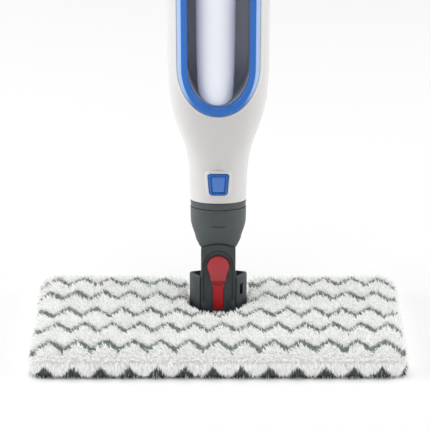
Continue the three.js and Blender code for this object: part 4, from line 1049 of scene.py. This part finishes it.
def padBase():
    base = addBox((-pad["half"], pad["front"], pad["low"]), (pad["half"], pad["back"], pad["high"]))
    middleHeight = (pad["low"] + pad["high"]) / 2 * mm
    bevelEdges(base, pad["corner"], 8, lambda a, b: (a.z - middleHeight) * (b.z - middleHeight) < 0)
    bevelEdges(base, pad["topRound"], 5, lambda a, b: min(a.z, b.z) > middleHeight)
    middle = pad["middle"]
    boolean(base, addRod(pad["notch"], (0, middle, -20), (0, middle, 60), 96))
    boolean(base, addBox((-pad["notch"], middle, -20), (pad["notch"], 120, 60)))
    applyModifier(base, "REMESH", mode="VOXEL", voxel_size=pad["voxel"] * mm)
    before = np.array([vertex.co[:] for vertex in base.data.vertices])
    makeActive(base)
    cloth = base.modifiers.new("cloth", "CLOTH")
    cloth.settings.use_pressure = True
    cloth.settings.uniform_pressure_force = pad["pressure"]
    cloth.settings.effector_weights.gravity = 0
    cloth.settings.quality = pad["quality"]
    scene = bpy.context.scene
    cloth.point_cache.frame_start = 1
    cloth.point_cache.frame_end = pad["frames"]
    for number in range(1, pad["frames"] + 1):
        scene.frame_set(number)
    bpy.ops.object.modifier_apply(modifier=cloth.name)
    scene.frame_set(1)
    after = np.array([vertex.co[:] for vertex in base.data.vertices])
    moved = after - before
    far = np.maximum(np.linalg.norm(moved, axis=1) / (pad["cap"] * mm), 1)
    after = before + moved / far[:, None]
    base.data.vertices.foreach_set("co", after.ravel())
    for vertex in base.data.vertices:
        vertex.co.z = max(vertex.co.z, pad["low"] * mm)
    applyModifier(base, "SMOOTH", factor=0.5, iterations=3)
    half, front, low, high = pad["pocket"]
    pocket = addBox((-half, front, low), (half, 200, high))
    bevelEdges(pocket, pad["pocketCorner"], 6, lambda a, b: abs(a.z - b.z) > 5 * mm)
    boolean(base, pocket)
    applyModifier(base, "TRIANGULATE")
    return base


# Random places on the base's outside, evenly per area: point, normal.
def scatter(base, dice):
    data = base.data
    data.calc_loop_triangles()
    corners = np.array([[data.vertices[k].co[:] for k in tri.vertices] for tri in data.loop_triangles]) / mm
    cross = np.cross(corners[:, 1] - corners[:, 0], corners[:, 2] - corners[:, 0])
    area = np.linalg.norm(cross, axis=1) / 2
    normal = cross / np.maximum(2 * area, 1e-9)[:, None]
    middle = corners.mean(axis=1)
    half, front, low, high = pad["pocket"]
    near = pad["skin"]
    inside = (np.abs(middle[:, 0]) < half + near) & (middle[:, 1] > front - near)
    inside &= (middle[:, 2] > low - near) & (middle[:, 2] < high + near) & (np.abs(normal[:, 2]) > 0.99)
    edge = (np.abs(np.abs(middle[:, 0]) - half) < near) | (np.abs(middle[:, 1] - front) < near)
    inside |= edge & (middle[:, 2] > low) & (middle[:, 2] < high) & (np.abs(normal[:, 2]) < 0.01)
    rest = np.where(normal[:, 2] < -0.5, pile["bottom"], pile["side"])
    density = np.where(normal[:, 2] > 0.5, pile["top"], rest)
    weight = area * density * ~inside
    count = int(weight.sum())
    chosen = dice.choice(len(weight), count, p=weight / weight.sum())
    u, v = dice.random(count), dice.random(count)
    turned = u + v > 1
    u[turned], v[turned] = 1 - u[turned], 1 - v[turned]
    base0, base1, base2 = corners[chosen, 0], corners[chosen, 1], corners[chosen, 2]
    return base0 + (base1 - base0) * u[:, None] + (base2 - base0) * v[:, None], normal[chosen]


def unit(vectors):
    return vectors / np.maximum(np.linalg.norm(vectors, axis=1), 1e-9)[:, None]


# Keeps a value per point for the pile's material to read.
def mark(mesh, marks):
    for key, values in marks.items():
        mesh.attributes.new(key, "FLOAT", "POINT").data.foreach_set("value", values.astype(np.float32))


# Each strand is a three-sided spike with a bend in its middle; one mesh holds them all.
def strands(name, root, normal, dice):
    count = len(root)
    top = normal[:, 2] > 0.5
    bottom = normal[:, 2] < -0.5
    side = ~top & ~bottom
    front = side & (normal[:, 1] < -0.4)
    stripe = np.where(top, stripeAt(root[:, 0], root[:, 1]), 0)
    fromNotch = np.hypot(root[:, 0], np.minimum(root[:, 1] - pad["middle"], 0)) - pad["notch"]
    near = (fromNotch < pile["nearNotch"]) & (root[:, 1] < pad["back"])
    out = normal + dice.normal(0, pile["spread"], (count, 3))
    away = unit((root - (0, pad["middle"], 0)) * (1, 1, 0))
    out[near & top] += away[near & top] * pile["awayPush"]
    out[top, 0] += pile["lean"][0]
    out[top, 1] += pile["lean"][1]
    out[side, 2] -= pile["droop"]
    out[bottom, 2] *= pile["flatten"]
    out = unit(out)
    hang = np.where(side[:, None], pile["sideBend"], pile["topBend"])
    bend = unit(out + dice.normal(0, pile["bendSpread"], (count, 3)) + hang)
    long = pile["length"] * dice.uniform(*pile["vary"], count) * (1 - (1 - pile["greyShort"]) * stripe)
    long[front] = pile["frontLength"] * dice.uniform(*pile["frontVary"], front.sum())
    long[near] *= pile["nearShort"]
    across = unit(np.cross(out, dice.normal(0, 1, (count, 3))))
    third = np.cross(out, across)
    start = root - out * pile["rooted"]
    knee = start + out * (long * pile["kneeAt"])[:, None]
    tip = knee + bend * (long * pile["tipFrom"])[:, None]
    points = np.empty((count, 7, 3))
    for k in range(3):
        turn = 2 * math.pi * k / 3
        offset = across * math.cos(turn) + third * math.sin(turn)
        points[:, k] = start + offset * pile["radius"]
        points[:, 3 + k] = knee + offset * pile["radius"] * pile["kneeThin"]
    points[:, 6] = tip
    points[:, :, 2] = np.maximum(points[:, :, 2], pile["floor"] + pile["floorStep"] * np.arange(7) / 7)
    first = (np.arange(count) * 7)[:, None]
    quads = np.array([[k, (k + 1) % 3, 3 + (k + 1) % 3, 3 + k] for k in range(3)])
    tris = np.array([[3 + k, 3 + (k + 1) % 3, 6] for k in range(3)] + [[2, 1, 0]])
    faces = [row for quad in quads for row in (first + quad).tolist()]
    faces += [row for tri in tris for row in (first + tri).tolist()]
    mesh = bpy.data.meshes.new(name)
    mesh.from_pydata((points.reshape(-1, 3) * mm).tolist(), [], faces)
    # The front strands take the front marks: grey stripes darkened with painted shade, over a painted floor
    # shadow.
    shadedFront = front[:, None] | (points[:, :, 1] < pad["front"] - 1)
    dark = np.where(shadedFront, darkAt(points[:, :, 0], points[:, :, 2]), 0).ravel()
    tone = np.repeat(dice.random(count), 7)
    depth = np.tile([0, 0, 0, 0.62, 0.62, 0.62, 1.0], count)
    mark(mesh, {"stripe": np.repeat(stripe, 7), "dark": dark, "tone": tone, "depth": depth})
    obj = bpy.data.objects.new(name, mesh)
    bpy.context.scene.collection.objects.link(obj)
    return obj


# Microfibre pile: soft white strands with a sheen, with painted shade darkening them towards their roots;
# grey yarn in the stripes. The glow is painted light, standing in for light scattered between the strands.
def pileCloth():
    material = newMaterial(
        "tufted_microfibre_pile", Roughness=0.88, Sheen_Weight=0.35, Sheen_Roughness=0.5,
        Emission_Strength=pile["glow"])
    where = objectPlace(material)
    fact = {
        key: addNode(material, "ShaderNodeAttribute", attribute_name=key).outputs["Fac"]
        for key in ("stripe", "dark", "tone", "depth")
    }
    broad = addNode(material, "ShaderNodeTexNoise", {"Vector": where, "Scale": 1 / (26 * mm), "Detail": 4})
    white = mixColours(material, broad.outputs["Fac"], linear("#f3f4f3"), linear("#fcfcfa"))
    grey = mixColours(material, fact["tone"], linear("#838d89"), linear("#9ea8a4"))
    striped = mixColours(material, fact["stripe"], white, grey)
    height = addNode(material, "ShaderNodeSeparateXYZ", {0: where}).outputs["Z"]
    # Painted shadow near the floor: the front marks go near-black below 2 mm, lightening to a shaded grey by
    # 6 mm.
    floorShadow = ranged(material, height, 2 * mm, 6 * mm)
    shadedFront = mixColours(material, floorShadow, linear("#141818"), linear("#4f5a5a"))
    withShadedFront = mixColours(material, fact["dark"], striped, shadedFront)
    # Painted shade: strands darken towards their roots, down to 0.8 at the root.
    low = ranged(material, fact["depth"], 0, 1, 0.8, 1)
    shaded = mixColours(material, 1.0, withShadedFront, low, "MULTIPLY")
    feed(material, "Base Color", shaded)
    feed(material, "Emission Color", shaded)
    fine = addNode(material, "ShaderNodeTexNoise", {"Vector": where, "Scale": 1 / (0.6 * mm), "Detail": 2})
    addBump(material, fine.outputs["Fac"], 0.4, 0.15)
    return material


# The backing cloth takes the colour of the pile that stands on it, with painted shade beneath the pile and
# the painted front marks on its front edge.
def markBase(base):
    places = np.array([vertex.co[:] for vertex in base.data.vertices]) / mm
    level = places[:, 2] > pad["high"] - 1
    edge = (places[:, 1] < pad["front"] + 2) & ~level
    mark(base.data, {
        "stripe": np.where(level, stripeAt(places[:, 0], places[:, 1]), 0),
        "dark": np.where(edge, darkAt(places[:, 0], places[:, 2]), 0),
        "tone": np.full(len(places), 0.5), "depth": np.full(len(places), 0.3),
    })


pileFabric = pileCloth()
dice = np.random.default_rng(pad["seed"])
base = padBase()
markBase(base)
root, normal = scatter(base, dice)
order = np.argsort(root[:, 0])
root, normal = root[order], normal[order]
pieces = math.ceil(len(root) / pile["most"])
for number, part in enumerate(np.array_split(np.arange(len(root)), pieces)):
    name = f"pile_{number + 1}"
    place(strands(name, root[part], normal[part], dice), name, pileFabric, "pad")
place(base, "pad_cloth", pileFabric, "pad", ["mop_pad"], 60)
print("pad done", len(root), "strands")
